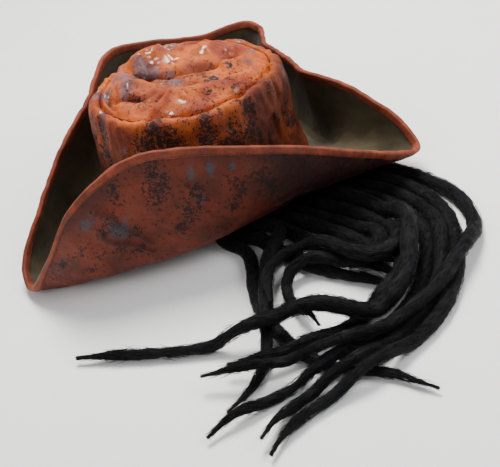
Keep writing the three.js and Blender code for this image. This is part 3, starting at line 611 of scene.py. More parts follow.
def shape_crown_wall(look, wrinkle):
    """The crown's wall as one closed body, with upright wrinkles raised along the surface's normals."""
    columns = 500
    turn = np.arange(columns)[:, None] * (2 * np.pi / columns)
    degrees = np.degrees(turn)
    side, roll, inside = crown_grids(turn)
    outside = np.concatenate([side, roll], 1)
    normal = unit(np.cross(np.roll(outside, -1, 0) - np.roll(outside, 1, 0), np.gradient(outside, axis=1)))
    row = np.linspace(0, 1, outside.shape[1])[None, :]
    calm = smooth(row / 0.08) * smooth((1 - row) / 0.06)
    drawn_up = outside * (1, 1, 0.28)
    upright = 0.9 * folded(drawn_up, 15, 3) + 0.4 * folded(drawn_up, 7, 8)
    strength = 1.9 * near(degrees, 138, 34) + 0.7 * near(degrees, 330, 60) + 0.4
    soft = 1.5 * rough(outside, 26, 3, 21)
    relief = np.clip((soft + 1.7 * strength * upright) * calm * wrinkle, -1.6, 2.6)
    verts = np.concatenate([outside + normal * relief[..., None], inside], 1)
    rows = verts.shape[1]
    share = np.concatenate([np.linspace(0, SIDE_TOP, side.shape[1]), np.linspace(0.82, 1.02, roll.shape[1]),
                            np.linspace(INSIDE_TOP, 0, inside.shape[1])])

    def place(at, height):
        return np.hypot(np.radians(apart(degrees, at)) * WALL_RADIUS, (share - height) * CROWN_HEIGHT)

    # Painted shade: the wall grows darker towards its bottom and round 132 degrees.
    wall_shade = near(degrees, 132, 42) + 1.5 * (1 - share)
    obj = new_mesh(
        "crown_wall", verts, [ring_faces(columns, rows)], look,
        ring_uv(columns, rows, math.pi * (BASE_LENGTH + BASE_WIDTH) / 2, travel(verts[0])),
        stain=0.8 * spots(WALL_STAINS, place), bloom=spots(WALL_BLOOMS, place),
        gloss=spots(WALL_GLOSS, place),
        crease=np.concatenate([np.clip(-relief, 0, 2) / 1.9, 0 * inside[..., 0]], 1),
        inner=np.concatenate([0 * relief, 0 * inside[..., 0] + 1], 1),
        grime=np.clip(wall_shade, 0, 1) * smooth((1.02 - share) / 0.12))
    return keep(obj, "crown_leather", "crown_side")


def top_height(across, along, radius, wrinkle):
    """Height of the top over its seam, and the part of it that the soft folds make.

    A low dome dips into a groove along the seam, deeper on the wearer's left, and carries the folds and
    small wrinkles; the edge follows rim_wave.
    """
    turn = np.arctan2(across, -along)
    degrees = np.degrees(turn) % 360
    groove = (0.4 + 3.9 * smooth((degrees - 38) / 14) * smooth((168 - degrees) / 20)
              + 3.2 * near(degrees, 350, 15) + 1.2 * near(degrees, 225, 25))
    dome = 1.3 + 6 * (1 - radius**8) + 5 * (1 - radius**2) - groove * (1 - smooth((1 - radius) / 0.04))
    x, y = across * TOP_WIDTH / 2, along * TOP_LENGTH / 2
    flat = np.stack([x, y, 0 * x], -1)
    bend = 1.6 * rough(flat, 16, 2, 31)
    fold = 0
    for line, width, depth in TOP_FOLDS:
        points = np.array(line) * (TOP_WIDTH / 2, TOP_LENGTH / 2)
        distance, line_share = line_distance(x + bend, y + bend, points)
        ends = ends_off(line_share, 0.18)
        taper = 0.35 + 0.65 * ends if abs(depth) > 3 else ends + 0.1
        section = np.exp(-(distance / width)**2) if depth < 0 else 1 / (1 + (distance / width)**2)**1.6
        fold = fold - FOLD_GAIN * depth * section * taper
    calm = smooth((1 - radius) / 0.07)
    small = 1.3 * rough(flat, 12, 3, 41) + 0.3 * folded(flat * (1, 0.5, 1), 7, 47)
    edge = rim_wave(turn) * smooth((radius - 0.35) / 0.6)
    return dome + edge + (fold + small * wrinkle) * calm, fold * calm


def shape_crown_top(look, wrinkle):
    """The top as a polar grid over and under, joined round its edge, with a point in each middle."""
    columns = 480
    turn = np.arange(columns)[:, None] * (2 * np.pi / columns)
    edge = oval(TOP_LENGTH / 2 - TOP_INSET, TOP_WIDTH / 2 - TOP_INSET, turn)

    def sheet(shares, thickness):
        radius = shares[None, :] + 0 * turn
        across, along = around(radius, turn)
        height, fold = top_height(across, along, radius, wrinkle)
        x, y = around(edge * radius, turn)
        z = seam_height(along) + height - thickness
        return settle(x + TOP_SHIFT_X, y + TOP_SHIFT_Y, z), fold, across, along

    upper, fold, across, along = sheet(1 - np.linspace(0, 1, 76)[-2::-1]**1.15, 0)
    lower, _, low_across, low_along = sheet(np.linspace(1, 0.06, 18), CROWN_WALL)
    rows = upper.shape[1] + lower.shape[1]
    middles = [upper[:, 0].mean(0), lower[:, -1].mean(0)]
    verts = np.concatenate([upper, lower], 1).reshape(-1, 3)
    here = np.arange(columns) * rows
    after = np.roll(here, -1)
    first, last = columns * rows + 0 * here, columns * rows + 1 + 0 * here
    fans = np.concatenate([np.stack([after, here, first], -1),
                           np.stack([last, here + rows - 1, after + rows - 1], -1)])

    def both(over, under, middle=0.0, low_middle=0.0):
        return np.append(np.concatenate([over, under], 1).ravel(), [middle, low_middle])

    all_across, all_along = both(across, low_across), both(along, low_along)

    def place(u, v):
        return np.hypot((all_across - u) * TOP_WIDTH / 2, (all_along - v) * TOP_LENGTH / 2)

    faces = [ring_faces(columns, rows, wrap_rows=False), fans]
    obj = new_mesh(
        "crown_top", np.concatenate([verts, middles]), faces, look,
        stain=np.clip(0.08 + 0.16 * all_across + spots(TOP_STAINS, place), 0, 1),
        bloom=spots(TOP_BLOOMS, place), gloss=spots(TOP_GLOSS, place),
        crease=both(np.clip(-fold, 0, 6) / 9, 0 * low_across),
        inner=both(0 * across, 0 * low_across + 1, 0, 1), grime=spots(TOP_DARKENING, place))
    return keep(obj, "tip_leather", "crown_tip")


# Brim

def brim_row(degrees):
    """The table's columns in any direction: cubic curves through the rows, closed round the hat."""
    degrees = np.mod(degrees, 360)
    k = np.searchsorted(BRIM[:, 0], degrees, side="right") - 1
    steps = [k + step for step in (-1, 0, 1, 2)]
    before, row, following, beyond = (BRIM[i % len(BRIM), 1:] for i in steps)
    places = [BRIM[i % len(BRIM), 0] + 360 * (i // len(BRIM)) for i in steps]
    span = places[2] - places[1]
    t = ((degrees - places[1]) / span)[..., None]
    leave = (following - before) * (span / (places[2] - places[0]))[..., None]
    arrive = (beyond - row) * (span / (places[3] - places[1]))[..., None]
    return ((2 * t**3 - 3 * t**2 + 1) * row + (t**3 - 2 * t**2 + t) * leave
            + (3 * t**2 - 2 * t**3) * following + (t**3 - t**2) * arrive)


def underside(degrees, share):
    """Lower face of the brim: a cubic curve from the crown's base to the rim."""
    reach, rise, out, dip, inset, low = np.moveaxis(brim_row(degrees), -1, 0)
    turn = np.radians(degrees)
    start = oval(BASE_LENGTH / 2, BASE_WIDTH / 2, turn) + SEAM_GAP
    end = start + reach * BRIM_REACH
    radius = cubic(start, start + out * BRIM_REACH, end - inset * BRIM_REACH, end, share)
    z = cubic(SEAT_HEIGHT, SEAT_HEIGHT - dip * DIP, low * FLAP_HEIGHT, rise * FLAP_HEIGHT, share)
    return settle(*around(radius, turn), z)


def brim_ripple(base, degrees, share, wrinkle):
    """How far the brim stands off its plain curve: waves and wrinkles first, then the pressed lines."""
    away = smooth(share / 0.12)
    waves = 1.3 * rough(base, 60, 2, 61) + 0.75 * rough(base, 22, 2, 67)
    fine = 0.42 * folded(base * (1, 1, 0.8), 13, 71) + 0.2 * rough(base, 7, 2, 79)
    wander = 1.6 * lattice(base, 17, 83)
    lines = 0
    for line, width, depth in BRIM_CREASES:
        distance, along = line_distance(degrees * DEGREE_LENGTH + wander, share * BRIM_WIDTH + wander,
                                        np.array(line) * (DEGREE_LENGTH, BRIM_WIDTH))
        lines = lines - depth * np.exp(-(distance / width)**2) * ends_off(along, 0.15)
    return (waves + fine) * away * wrinkle, lines * away


def brim_sheet(degrees, share, wrinkle):
    """Rippled lower face, its normals towards the upper side, and the depth of its pressed lines."""
    degrees, share = np.broadcast_arrays(degrees, share)
    base = underside(degrees, share)
    round_hat = underside(degrees + 0.2, share) - underside(degrees - 0.2, share)
    outwards = underside(degrees, share + 0.003) - underside(degrees, share - 0.003)
    normal = unit(np.cross(outwards, round_hat))
    ripple, lines = brim_ripple(base, degrees, share, wrinkle)
    return base + normal * (ripple + 0.4 * lines)[..., None], normal, lines


def brim_layer(name, node, slot, look, heights, columns, counts, pressed, wrinkle):
    """One layer of the brim between two heights above its lower face, with its rows for each side.

    The lower side sinks by a further part of the pressed lines, and no point lies under its own height.
    """
    degrees = np.arange(columns)[:, None] * (360 / columns)
    shares = [np.linspace(BRIM_TUCK, 1, counts[0])[None, :], np.linspace(1, BRIM_TUCK, counts[1])[None, :]]
    lower, low_normal, lines = brim_sheet(degrees, shares[0], wrinkle)
    upper, high_normal, _ = brim_sheet(degrees, shares[1], wrinkle)
    lower = lower + low_normal * (heights[0] + pressed * lines)[..., None]
    upper = upper + high_normal * heights[1]
    for side, height in zip((lower, upper), heights):
        side[..., 2] = np.maximum(side[..., 2], height)
    verts = np.concatenate([lower, upper], 1)
    rows = verts.shape[1]
    share = np.concatenate(shares, 1)

    def place(at, out):
        return np.hypot(np.radians(apart(degrees, at)) * BRIM_RADIUS, (share - out) * BRIM_WIDTH)

    bloom = spots(BRIM_BLOOMS, place)
    # Painted shade mixed with stains: the brim darkens round 110 degrees, and the stain marks gain a broad
    # band round 112 degrees; it also darkens a little next to the rim.
    dirt_and_shade = 1.4 * near(degrees, 110, 28) + 0.4 * smooth((share - 0.9) / 0.1)
    obj = new_mesh(
        name, verts, [ring_faces(columns, rows)], look,
        ring_uv(columns, rows, BRIM_ROUND, travel(verts[columns // 5])),
        stain=np.maximum(0.76 * spots(BRIM_STAINS, place), 0.58 * near(degrees, 112, 24)),
        bloom=bloom, gloss=0.35 * bloom, inner=np.zeros((columns, rows)), grime=np.clip(dirt_and_shade, 0, 1),
        crease=np.concatenate([np.clip(-lines, 0, 2) / 1.8, 0 * upper[..., 0]], 1))
    return keep(obj, slot, node)


def rim_speed(degrees):
    """Millimetres along the brim for a whole share, taken at the rim."""
    return np.linalg.norm(underside(degrees, 1.0) - underside(degrees, 0.99), axis=-1) / 0.01


def shape_binding(props, wrinkle, look):
    """Tape folded over the rim: a U section with a rounded edge carried round the hat, slightly puckered.

    Just after each join the tape's end lies under it, and lifts it over a few degrees.
    """
    columns = 1400
    degrees = np.arange(columns) * (360 / columns)
    backs = np.array([0.0, 0.5, 1.0]) * props.leg / MM
    sheets = [brim_sheet(degrees, 1 - back / rim_speed(degrees), wrinkle) for back in backs]
    (edge, n0, _), (middle, n1, _), (end, n2, _) = sheets
    inner = end + (middle - end) * 0.12
    outward = unit(edge - middle)
    pucker = 0.16 * np.sin(degrees * 2 * np.pi / 1.15) + 0.2 * lattice(edge, 5, 91)
    thick = 0.95 + 0.3 * pucker
    for join in TAPE_JOINS:
        past = apart(degrees, join)
        thick = thick + 0.5 * np.exp(-past**4 / 8) * (past > 0)

    def lay(base, normal, up, out=0.0):
        """A line of the tape: up along the normal from a line of the brim, and out from the rim."""
        return base + normal * (up + 0 * thick)[:, None] + outward * (out + 0 * thick)[:, None]

    half = STACK / 2 + thick
    ring = [lay(end, n2, -0.12), lay(end, n2, -0.75 * thick), lay(inner, n2, -thick),
            lay(middle, n1, -1.12 * thick)]
    ring += [lay(edge, n0, STACK / 2 + half * math.sin(a), (1.0 + 0.9 * thick) * math.cos(a))
             for a in np.linspace(-np.pi / 2, np.pi / 2, 9)]
    ring += [lay(middle, n1, STACK + 1.12 * thick), lay(inner, n2, STACK + thick),
             lay(end, n2, STACK + 0.75 * thick), lay(end, n2, STACK + 0.12), lay(middle, n1, STACK + 0.1),
             lay(edge, n0, STACK + 0.1, 0.25), lay(edge, n0, -0.1, 0.25), lay(middle, n1, -0.1)]
    verts = np.stack(ring, 1)
    verts[..., 2] = np.maximum(verts[..., 2], 0.1)
    rows = verts.shape[1]
    obj = new_mesh("rim_tape", verts, [ring_faces(columns, rows)], look,
                   ring_uv(columns, rows, RIM_ROUND, travel(verts[100])))
    return keep(obj, "binding_tape", "rim_binding")


def shape_stitches(props, wrinkle, look):
    """Rows of short stitches along both legs of the binding, each a small bent spindle with six sides."""
    dense = np.linspace(0, 360, 2401)
    line, normal, _ = brim_sheet(dense, 1 - (props.leg / MM - STITCH_INSET) / rim_speed(dense), wrinkle)
    travelled = travel(line)
    count = int(travelled[-1] / (props.pitch / MM))
    at = (np.arange(count) + 0.5) * travelled[-1] / count
    up = unit(resample(at, travelled, normal))[:, None, None]
    forward = unit(resample(at + 1, travelled, line) - resample(at - 1, travelled, line))[:, None, None]
    side = unit(np.cross(up, forward))
    stops, fat, rise = STITCH.T[:, :, None, None]
    turn = (np.arange(6) * np.pi / 3)[:, None]
    bodies = []
    for face, height in ((1, STACK + STITCH_HEIGHT), (-1, STITCH_HEIGHT)):
        bodies.append(resample(at, travelled, line)[:, None, None] + forward * (stops * props.stitch / MM / 2)
                      + up * face * (height + rise + THREAD * fat * np.sin(turn))
                      + side * face * (1.15 * THREAD * fat * np.cos(turn)))
    faces = repeated(tube_faces(len(STITCH), 6), 2 * count, 6 * len(STITCH))
    return keep(new_mesh("rim_stitches", np.concatenate(bodies), faces, look), "binding_tape")


# Locks

def even_steps(chain, step):
    """Points of a chain taken again at equal distances, and the step that they have."""
    travelled = travel(chain)
    count = max(2, round(travelled[-1] / step))
    return resample(np.linspace(0, travelled[-1], count + 1), travelled, chain), travelled[-1] / count


def plan_path(route):
    """Uniform cubic B-spline near the route's points that starts and ends on its ends, in equal steps."""
    points = np.array(route, float) + (SET_ASIDE, SET_BACK)
    points = np.concatenate([[2 * points[0] - points[1]], points, [2 * points[-1] - points[-2]]])
    t = (np.arange(16) / 16)[None, :, None]
    p = [points[k:len(points) - 3 + k][:, None] for k in range(4)]
    curve = ((1 - t)**3 * p[0] + (3 * t**3 - 6 * t**2 + 4) * p[1]
             + (-3 * t**3 + 3 * t**2 + 3 * t + 1) * p[2] + t**3 * p[3]) / 6
    last = (points[-3] + 4 * points[-2] + points[-1]) / 6
    return even_steps(np.concatenate([curve.reshape(-1, 2), [last]]), WALK)


def lay_locks():
    """Centrelines of the locks: down from the band in a quarter round, then along the table.

    A lock clears each one below it by the height that keeps their centres their radii apart; the humps are
    parabolas of radius ARCH, softened by a bell curve of SOFTEN.
    """
    laid = []
    skip = int(DROP // WALK) + 1
    for diameter, route in LOCKS:
        radius = diameter / 2
        plan, step = plan_path(route)
        need = np.full(len(plan), radius + TABLE_GAP)
        for other_radius, other in laid:
            reach = radius + other_radius + LOCK_GAP
            below = other[skip:]
            gap = np.linalg.norm(plan[:, None] - below[None, :, :2], axis=-1)
            over = below[None, :, 2] + np.sqrt(np.maximum(reach**2 - gap**2, 0))
            need = np.maximum(need, np.where(gap < reach, over, 0).max(1))
        s = np.arange(len(plan)) * step
        spread = (s[:, None] - s[None, :])**2
        humps = (need[None, :] - spread / (2 * ARCH)).max(1)
        weight = np.exp(-0.5 * spread / SOFTEN**2)
        z = (weight * humps[None, :]).sum(1) / weight.sum(1)
        along = np.minimum(s, DROP) / DROP
        z = z + (TAPE_HEIGHT - GAP - ROOT - z[0]) * (1 - np.sqrt(2 * along - along**2))
        laid.append((radius, np.column_stack([plan, z])))
    return laid


def carried_frames(path):
    """Forward, level side and up along a path; where the path is upright, the first side that isn't."""
    forward = unit(np.gradient(path, axis=0))
    flat = np.cross(forward, (0, 0, 1.0))
    upright = np.linalg.norm(flat, axis=1) < 1e-3
    flat[upright] = flat[~upright][0]
    side = unit(flat)
    return forward, side, unit(np.cross(side, forward))


def felt_tube(number, radius, frames, s, width):
    """Rings of the felted body, and the coordinates that its material's streaks follow.

    The radius is changed by twisted grooves, by lumps that grow towards the free end, and by noise.
    """
    path, _, side, up = (v[:, None] for v in frames)
    s = s[:, None]
    phi = np.arange(LOCK_SIDES) * 2 * np.pi / LOCK_SIDES
    along = s + 0 * phi
    knots = 1 + 1.6 * smooth((s / s[-1] - 0.6) / 0.3)
    lumps = knots * (0.04 * np.sin(s / 9.0 + number)
                     + 0.06 * lattice(np.stack([s, 0 * s + number * 40.0, 0 * s], -1), 11, 5))
    twist = s / 15.0
    groove = 0.045 * np.sin(3 * phi + twist) + 0.03 * np.sin(5 * phi - 0.7 * twist + number)
    skin = np.stack([np.cos(phi) * radius + 0 * s, np.sin(phi) * radius + 0 * s, along], -1)
    felt = 0.05 * lattice(skin + number * 50, 3.2, 15) + 0.03 * lattice(skin, 1.6, 17)
    r = radius * width[:, None] * (0.965 + lumps + groove + felt)
    ring = path + side * (np.cos(phi) * r)[..., None] + up * (np.sin(phi) * r)[..., None]
    ring[..., 2] = np.maximum(ring[..., 2], 0.15)
    wound = phi + s / 45
    flow = np.stack([np.cos(wound) * radius, np.sin(wound) * radius, along / 9 + number * 30], -1)
    return ring, flow


def loose_fibres(rng, radius, frames, s, width, props):
    """Thin three-sided spikes that leave the felt slantwise and curl, and how near the end each starts."""
    total, wisp = s[-1], props.wisp / MM
    count = int(total * MM * props.density)
    extra = int(count * 0.12)
    at = np.concatenate([rng.uniform(4, total - 1, count), total - wisp * rng.uniform(0, 1, extra)])
    count += extra
    spin = rng.uniform(0, 2 * np.pi, count)
    tail = np.clip((at - (total - wisp)) / wisp, 0, 1)
    long = props.fibre / MM * rng.uniform(0.5, 1.5, count) * (1 + 1.2 * tail)
    stray = rng.random(count) < 0.22
    lean = np.where(stray, rng.uniform(0.15, 0.45, count), rng.uniform(0.0, 0.12, count)) * (1 - 0.7 * tail)
    curl = rng.normal(0, 0.35, count) * np.where(stray, 1.6, 1)
    head = np.where(rng.random(count) < 0.7, 1.0, -1.0)
    stops = np.array([0, 0.5, 1])
    place = at[:, None] + (head * long)[:, None] * stops
    angle = spin[:, None] - (place - at[:, None]) / 45 + curl[:, None] * stops**1.5
    beyond = np.clip(place - total, 0, FIBRE_BEYOND)
    off = np.interp(place, s, radius * width) * 1.03 + (lean * long)[:, None] * stops**0.8
    off = np.minimum(off, radius * 1.3 + 0.3)
    path, forward, side, up = (resample(place, s, v) for v in frames)
    spine = (path + side * (np.cos(angle) * off)[..., None] + up * (np.sin(angle) * off)[..., None]
             + forward * beyond[..., None])
    spine[..., 2] = np.maximum(spine[..., 2], 0.25)
    out = np.cos(spin)[:, None] * side[:, 0] + np.sin(spin)[:, None] * up[:, 0]
    along = unit(np.gradient(spine, axis=1))
    across = unit(np.cross(along, out[:, None] + 0.01))
    over = np.cross(across, along)
    fat = np.array([0.2, 0.17, 0.04])[:, None, None] * (1 + 0.3 * tail)[:, None, None, None]
    corner = (np.arange(3) * 2 * np.pi / 3)[:, None]
    round_spine = across[:, :, None] * np.cos(corner) + over[:, :, None] * np.sin(corner)
    return spine[:, :, None] + fat * round_spine, tail


def shape_lock(number, radius, centre, props, look):
    """One felted lock: its body that thins out at its end, its loose fibres, and the cord that it is."""
    rng = np.random.default_rng(700 + number)
    path, step = even_steps(np.concatenate([[centre[0] + (0, 0, ROOT)], centre]), LOCK_STEP)
    frames = (path, *carried_frames(path))
    s = np.arange(len(path)) * step
    left = (s[-1] - s) / (props.wisp / MM)
    width = (1.18 - 0.46 * smooth((s / s[-1] - 0.5) / 0.4)) * (0.16 + 0.84 * smooth(left)**0.8)
    ring, flow = felt_tube(number, radius, frames, s, width)
    spikes, tail = loose_fibres(rng, radius, frames, s, width, props)
    corners = spikes[0].size // 3
    own_streaks = np.repeat(rng.uniform(0, 200, (len(spikes), 3)), corners, axis=0)
    faces = [*tube_faces(len(path), LOCK_SIDES),
             *repeated(tube_faces(3, 3), len(spikes), corners, ring.size // 3)]
    obj = new_mesh(
        f"lock_{number:02d}", np.concatenate([ring.reshape(-1, 3), spikes.reshape(-1, 3)]), faces, look,
        tip=np.concatenate([np.repeat(smooth(1 - left), LOCK_SIDES), np.repeat(tail, corners)]),
        flow=np.concatenate([flow.reshape(-1, 3), own_streaks]) * MM)
    keep(obj, "felted_yarn", f"dreadlock_{number:02d}")
    return obj


# Finishes

def shade(tone, factor):
    """A colour made darker or lighter."""
    return tuple(min(1, c * factor) for c in tone)


class Finish:
    """A material whose nodes are added one by one."""

    def __init__(self, name):
        self.material = bpy.data.materials.new(name)
        self.material.use_nodes = True
        self.tree = self.material.node_tree
        self.tree.nodes.clear()
        self.shader = self.tree.nodes.new("ShaderNodeBsdfPrincipled")
        output = self.tree.nodes.new("ShaderNodeOutputMaterial")
        self.tree.links.new(self.shader.outputs[0], output.inputs["Surface"])
        self.place = self.add("TexCoord", "Object", {})

    def put(self, socket, value):
        """Links a socket to a socket, or sets a plain value on it."""
        if isinstance(value, bpy.types.NodeSocket):
            self.tree.links.new(value, socket)
        elif socket.type == "RGBA":
            socket.default_value = (*value, 1)
        else:
            socket.default_value = value

    def add(self, kind, output, inputs, **settings):
        """A node of a kind with its settings and inputs, as the output that is used of it."""
        node = self.tree.nodes.new("ShaderNode" + kind)
        for key, value in settings.items():
            setattr(node, key, value)
        for key, value in inputs.items():
            self.put(node.inputs[key], value)
        return node.outputs[output]

    def noise(self, scale, detail=4, roughness=0.55, place=None, distortion=0.0):
        """Fractal noise from 0 to 1; scale counts features over a metre."""
        return self.add("TexNoise", "Fac", {"Vector": place or self.place, "Scale": scale, "Detail": detail,
                                            "Roughness": roughness, "Distortion": distortion})

    def cells(self, scale):
        """Distance to scattered points."""
        return self.add("TexVoronoi", "Distance", {"Vector": self.place, "Scale": scale})

    def named(self, name, output="Fac"):
        """A point attribute of the piece, as a number or as a vector."""
        return self.add("Attribute", output, {}, attribute_name=name)

    def ribs(self, axis, pace):
        """Sine of one axis of the piece's UV map, which is in metres; pace is in radians over a metre."""
        place = self.add("UVMap", 0, {}, uv_map="UVMap")
        return self.math("SINE", self.math("MULTIPLY", self.add("SeparateXYZ", axis, {0: place}), pace))

    def math(self, kind, a, b=0.0):
        """One sum on one or two values."""
        return self.add("Math", 0, {0: a, 1: b}, operation=kind)

    def swing(self, value, gain):
        """A value from 0 to 1 taken about its middle, times a gain."""
        return self.math("MULTIPLY", self.math("SUBTRACT", value, 0.5), gain)

    def span(self, value, low, high, to_low=0.0, to_high=1.0):
        """Value from low to high turned smoothly into to_low to to_high."""
        inputs = dict(enumerate((value, low, high, to_low, to_high)))
        return self.add("MapRange", 0, inputs, interpolation_type="SMOOTHSTEP")

    def blend(self, share, a, b):
        """Colour a at share 0 and b at share 1."""
        return self.add("Mix", 2, {"Factor": share, 6: a, 7: b}, data_type="RGBA")

    def bump(self, height, distance, strength=1.0, normal=None):
        """Bump of a height pattern; distance is in metres."""
        inputs = {"Strength": strength, "Distance": distance, "Height": height}
        return self.add("Bump", 0, inputs if normal is None else {**inputs, "Normal": normal})

    def set(self, **values):
        """Inputs of the shader by name, with _ for a space."""
        for key, value in values.items():
            self.put(self.shader.inputs[key.replace("_", " ")], value)
        return self.material


def leather_finish(name, look, light, dark, bloom, gloss, shine, coat):
    """Mottled faux leather: two tones in clouds, stains, dull patches, painted shade in creases and darker
    places, and crinkled gloss.
    """
    f = Finish(name)
    clouds = f.noise(30, 5, 0.6)
    ragged = f.noise(240, 5, 0.66, distortion=0.5)
    speckle = f.math("ADD", f.swing(ragged, 3.6), f.swing(f.noise(700, 3, 0.65), 2.4))
    stained = f.span(f.math("ADD", f.named("stain"), speckle), 0.5, 0.66, 0, 0.95)
    dull = f.math("ADD", f.named("bloom"), f.swing(f.noise(120, 4, 0.6), 2.0))
    # Painted shade together with soiling: where this attribute is set the tone darkens towards a deep rust.
    dirt_and_shade = f.math("MULTIPLY", f.named("grime"), f.span(clouds, 0.3, 0.7, 1.0, 0.75))
    tone = f.blend(f.span(clouds, 0.38, 0.6), dark, light)
    tone = f.blend(f.span(ragged, 0.48, 0.7, 0, 0.5), tone, dark)
    tone = f.blend(dirt_and_shade, tone, shade(dark, 0.28))
    tone = f.blend(f.span(dull, 0.4, 0.9, 0, 0.8), tone, bloom)
    tone = f.blend(stained, tone, look.stain)
    # Painted shade in the creases, in the stain colour.
    tone = f.blend(f.span(f.named("crease"), 0.15, 0.95, 0, 0.5), tone, look.stain)
    tone = f.blend(f.named("inner"), tone, look.lining)
    wet = f.span(f.math("ADD", f.named("gloss"), f.swing(clouds, 1.2)), 0.14, 0.55)
    crinkle = f.math("MULTIPLY", f.noise(800, 4, 0.66, distortion=1.0), f.span(wet, 0, 1, 0.5, 2.0))
    normal = f.bump(crinkle, 0.0016, 0.8, f.bump(f.cells(1500), 0.00025, 0.3))
    dry = f.math("SUBTRACT", f.span(ragged, 0.35, 0.7, gloss, gloss + 0.15), f.math("MULTIPLY", wet, shine))
    dry = f.math("MAXIMUM", dry, f.math("MULTIPLY", f.named("inner"), 0.9))
    return f.set(Base_Color=tone, Roughness=dry, Normal=normal, Coat_Weight=f.math("MULTIPLY", wet, coat),
                 Coat_Roughness=0.12, Specular_IOR_Level=0.3)


def cloth_finish(name, tint):
    """Plain dark cloth: crossed threads from two waves on the UV map, soft dust and slubs."""
    f = Finish(name)
    weave = f.math("MULTIPLY", f.ribs(0, 5200.0), f.ribs(1, 5200.0))
    deep = shade(tint, 0.62)
    tone = f.blend(f.span(f.noise(22, 4, 0.6), 0.34, 0.7), deep, shade(tint, 1.7))
    tone = f.blend(f.span(f.noise(900, 2, 0.5), 0.4, 0.75, 0, 0.4), tone, deep)
    tone = f.blend(f.span(weave, -1, 1, 0, 0.3), tone, deep)
    normal = f.bump(f.noise(240, 3), 0.0008, 0.3, f.bump(weave, 0.0002, 0.5))
    return f.set(Base_Color=tone, Roughness=0.86, Normal=normal, Sheen_Weight=0.12, Sheen_Roughness=0.5,
                 Specular_IOR_Level=0.25)


def tape_finish(name, tint):
    """Binding tape: fine cross ribs on the UV map, with rubbed places and darker soiling."""
    f = Finish(name)
    wear = f.noise(60, 5, 0.65)
    tone = f.blend(f.span(wear, 0.35, 0.7), shade(tint, 0.6), shade(tint, 1.25))
    tone = f.blend(f.span(f.noise(400, 3, 0.6), 0.52, 0.75, 0, 0.5), tone, shade(tint, 0.35))
    normal = f.bump(f.noise(500, 3), 0.0006, 0.4, f.bump(f.ribs(0, 7800.0), 0.0001, 0.4))
    return f.set(Base_Color=tone, Roughness=f.span(wear, 0.3, 0.7, 0.5, 0.68), Normal=normal,
                 Sheen_Weight=0.03, Specular_IOR_Level=0.2)


def yarn_finish(name, tint):
    """Felted yarn: near-black with matted fibres as fine streaks lit up as painted highlight, a little
    browner towards the frayed end.
    """
    f = Finish(name)
    clumps = f.noise(160, 4, 0.65)
    hairs = f.noise(900, 3, 0.7, place=f.named("flow", "Vector"))
    tone = f.blend(f.span(clumps, 0.35, 0.7), shade(tint, 0.55), shade(tint, 1.7))
    # Painted highlight: light streaks along the fibres, nine times the yarn's tone.
    tone = f.blend(f.span(hairs, 0.5, 0.72, 0, 0.7), tone, shade(tint, 9))
    tone = f.blend(f.math("MULTIPLY", f.named("tip"), 0.4), tone, (0.022, 0.019, 0.017))
    normal = f.bump(clumps, 0.0012, 0.5, f.bump(hairs, 0.0014, 0.9))
    return f.set(Base_Color=tone, Roughness=0.55, Normal=normal, Sheen_Weight=0.03, Sheen_Roughness=0.4,
                 Specular_IOR_Level=0.1)


# Stage

def set_table(tint):
    """A pale table under the hat, on the stage only."""
    f = Finish("pale_table")
    tone = f.blend(f.span(f.noise(6, 3), 0.3, 0.7), tint, shade(tint, 0.985))
    f.set(Base_Color=tone, Roughness=0.75, Specular_IOR_Level=0.2)
    mesh = bpy.data.meshes.new("table_top")
    corners = [(x * TABLE_HALF, y * TABLE_HALF, -0.0003) for x, y in ((-1, -1), (1, -1), (1, 1), (-1, 1))]
    mesh.from_pydata(corners, [], [(0, 1, 2, 3)])
    table = bpy.data.objects.new("table_top", mesh)
    bpy.context.scene.collection.objects.link(table)
    table.data.materials.append(f.material)


def set_lights(key, sky):
    """Three soft lights, and a world that lights the hat weakly but looks white to the camera."""
    world = bpy.data.worlds.new("studio")
    world.use_nodes = True
    nodes, links = world.node_tree.nodes, world.node_tree.links
    nodes["Background"].inputs[0].default_value = (0.97, 0.98, 1.0, 1)
    level = nodes.new("ShaderNodeMapRange")
    level.inputs["To Min"].default_value = sky
    level.inputs["To Max"].default_value = 0.95
    links.new(nodes.new("ShaderNodeLightPath").outputs["Is Camera Ray"], level.inputs["Value"])
    links.new(level.outputs[0], nodes["Background"].inputs[1])
    bpy.context.scene.world = world
    for name, place, size, share, tint in LIGHTS:
        light = bpy.data.lights.new(name, "AREA")
        light.size = size
        light.energy = key * share
        light.color = tint
        lamp = bpy.data.objects.new(name, light)
        bpy.context.scene.collection.objects.link(lamp)
        lamp.location = place
        lamp.rotation_mode = "QUATERNION"
        lamp.rotation_quaternion = (Vector(place) - Vector(HAT_MIDDLE)).to_track_quat("Z", "Y")


def set_camera():
    """The photo's camera: its view axis from azimuth and elevation, then a roll about that axis."""
    azimuth, elevation, roll = (math.radians(a) for a in CAMERA_TURN)
    back = Vector((math.sin(azimuth) * math.cos(elevation), -math.cos(azimuth) * math.cos(elevation),
                   math.sin(elevation)))
    right = Vector((0, 0, 1)).cross(back).normalized()
    up = back.cross(right)
    x_axis = right * math.cos(roll) - up * math.sin(roll)
    y_axis = right * math.sin(roll) + up * math.cos(roll)
    data = bpy.data.cameras.new("photo_camera")
    data.sensor_width = SENSOR
    data.lens = CAMERA_FOCUS * SENSOR
    data.clip_start, data.clip_end = 0.05, 50
    camera = bpy.data.objects.new("photo_camera", data)
    bpy.context.scene.collection.objects.link(camera)
    turn = Matrix((x_axis, y_axis, back)).transposed().to_4x4()
    camera.matrix_world = Matrix.Translation(CAMERA_PLACE) @ turn
    bpy.context.scene.camera = camera


# Operators

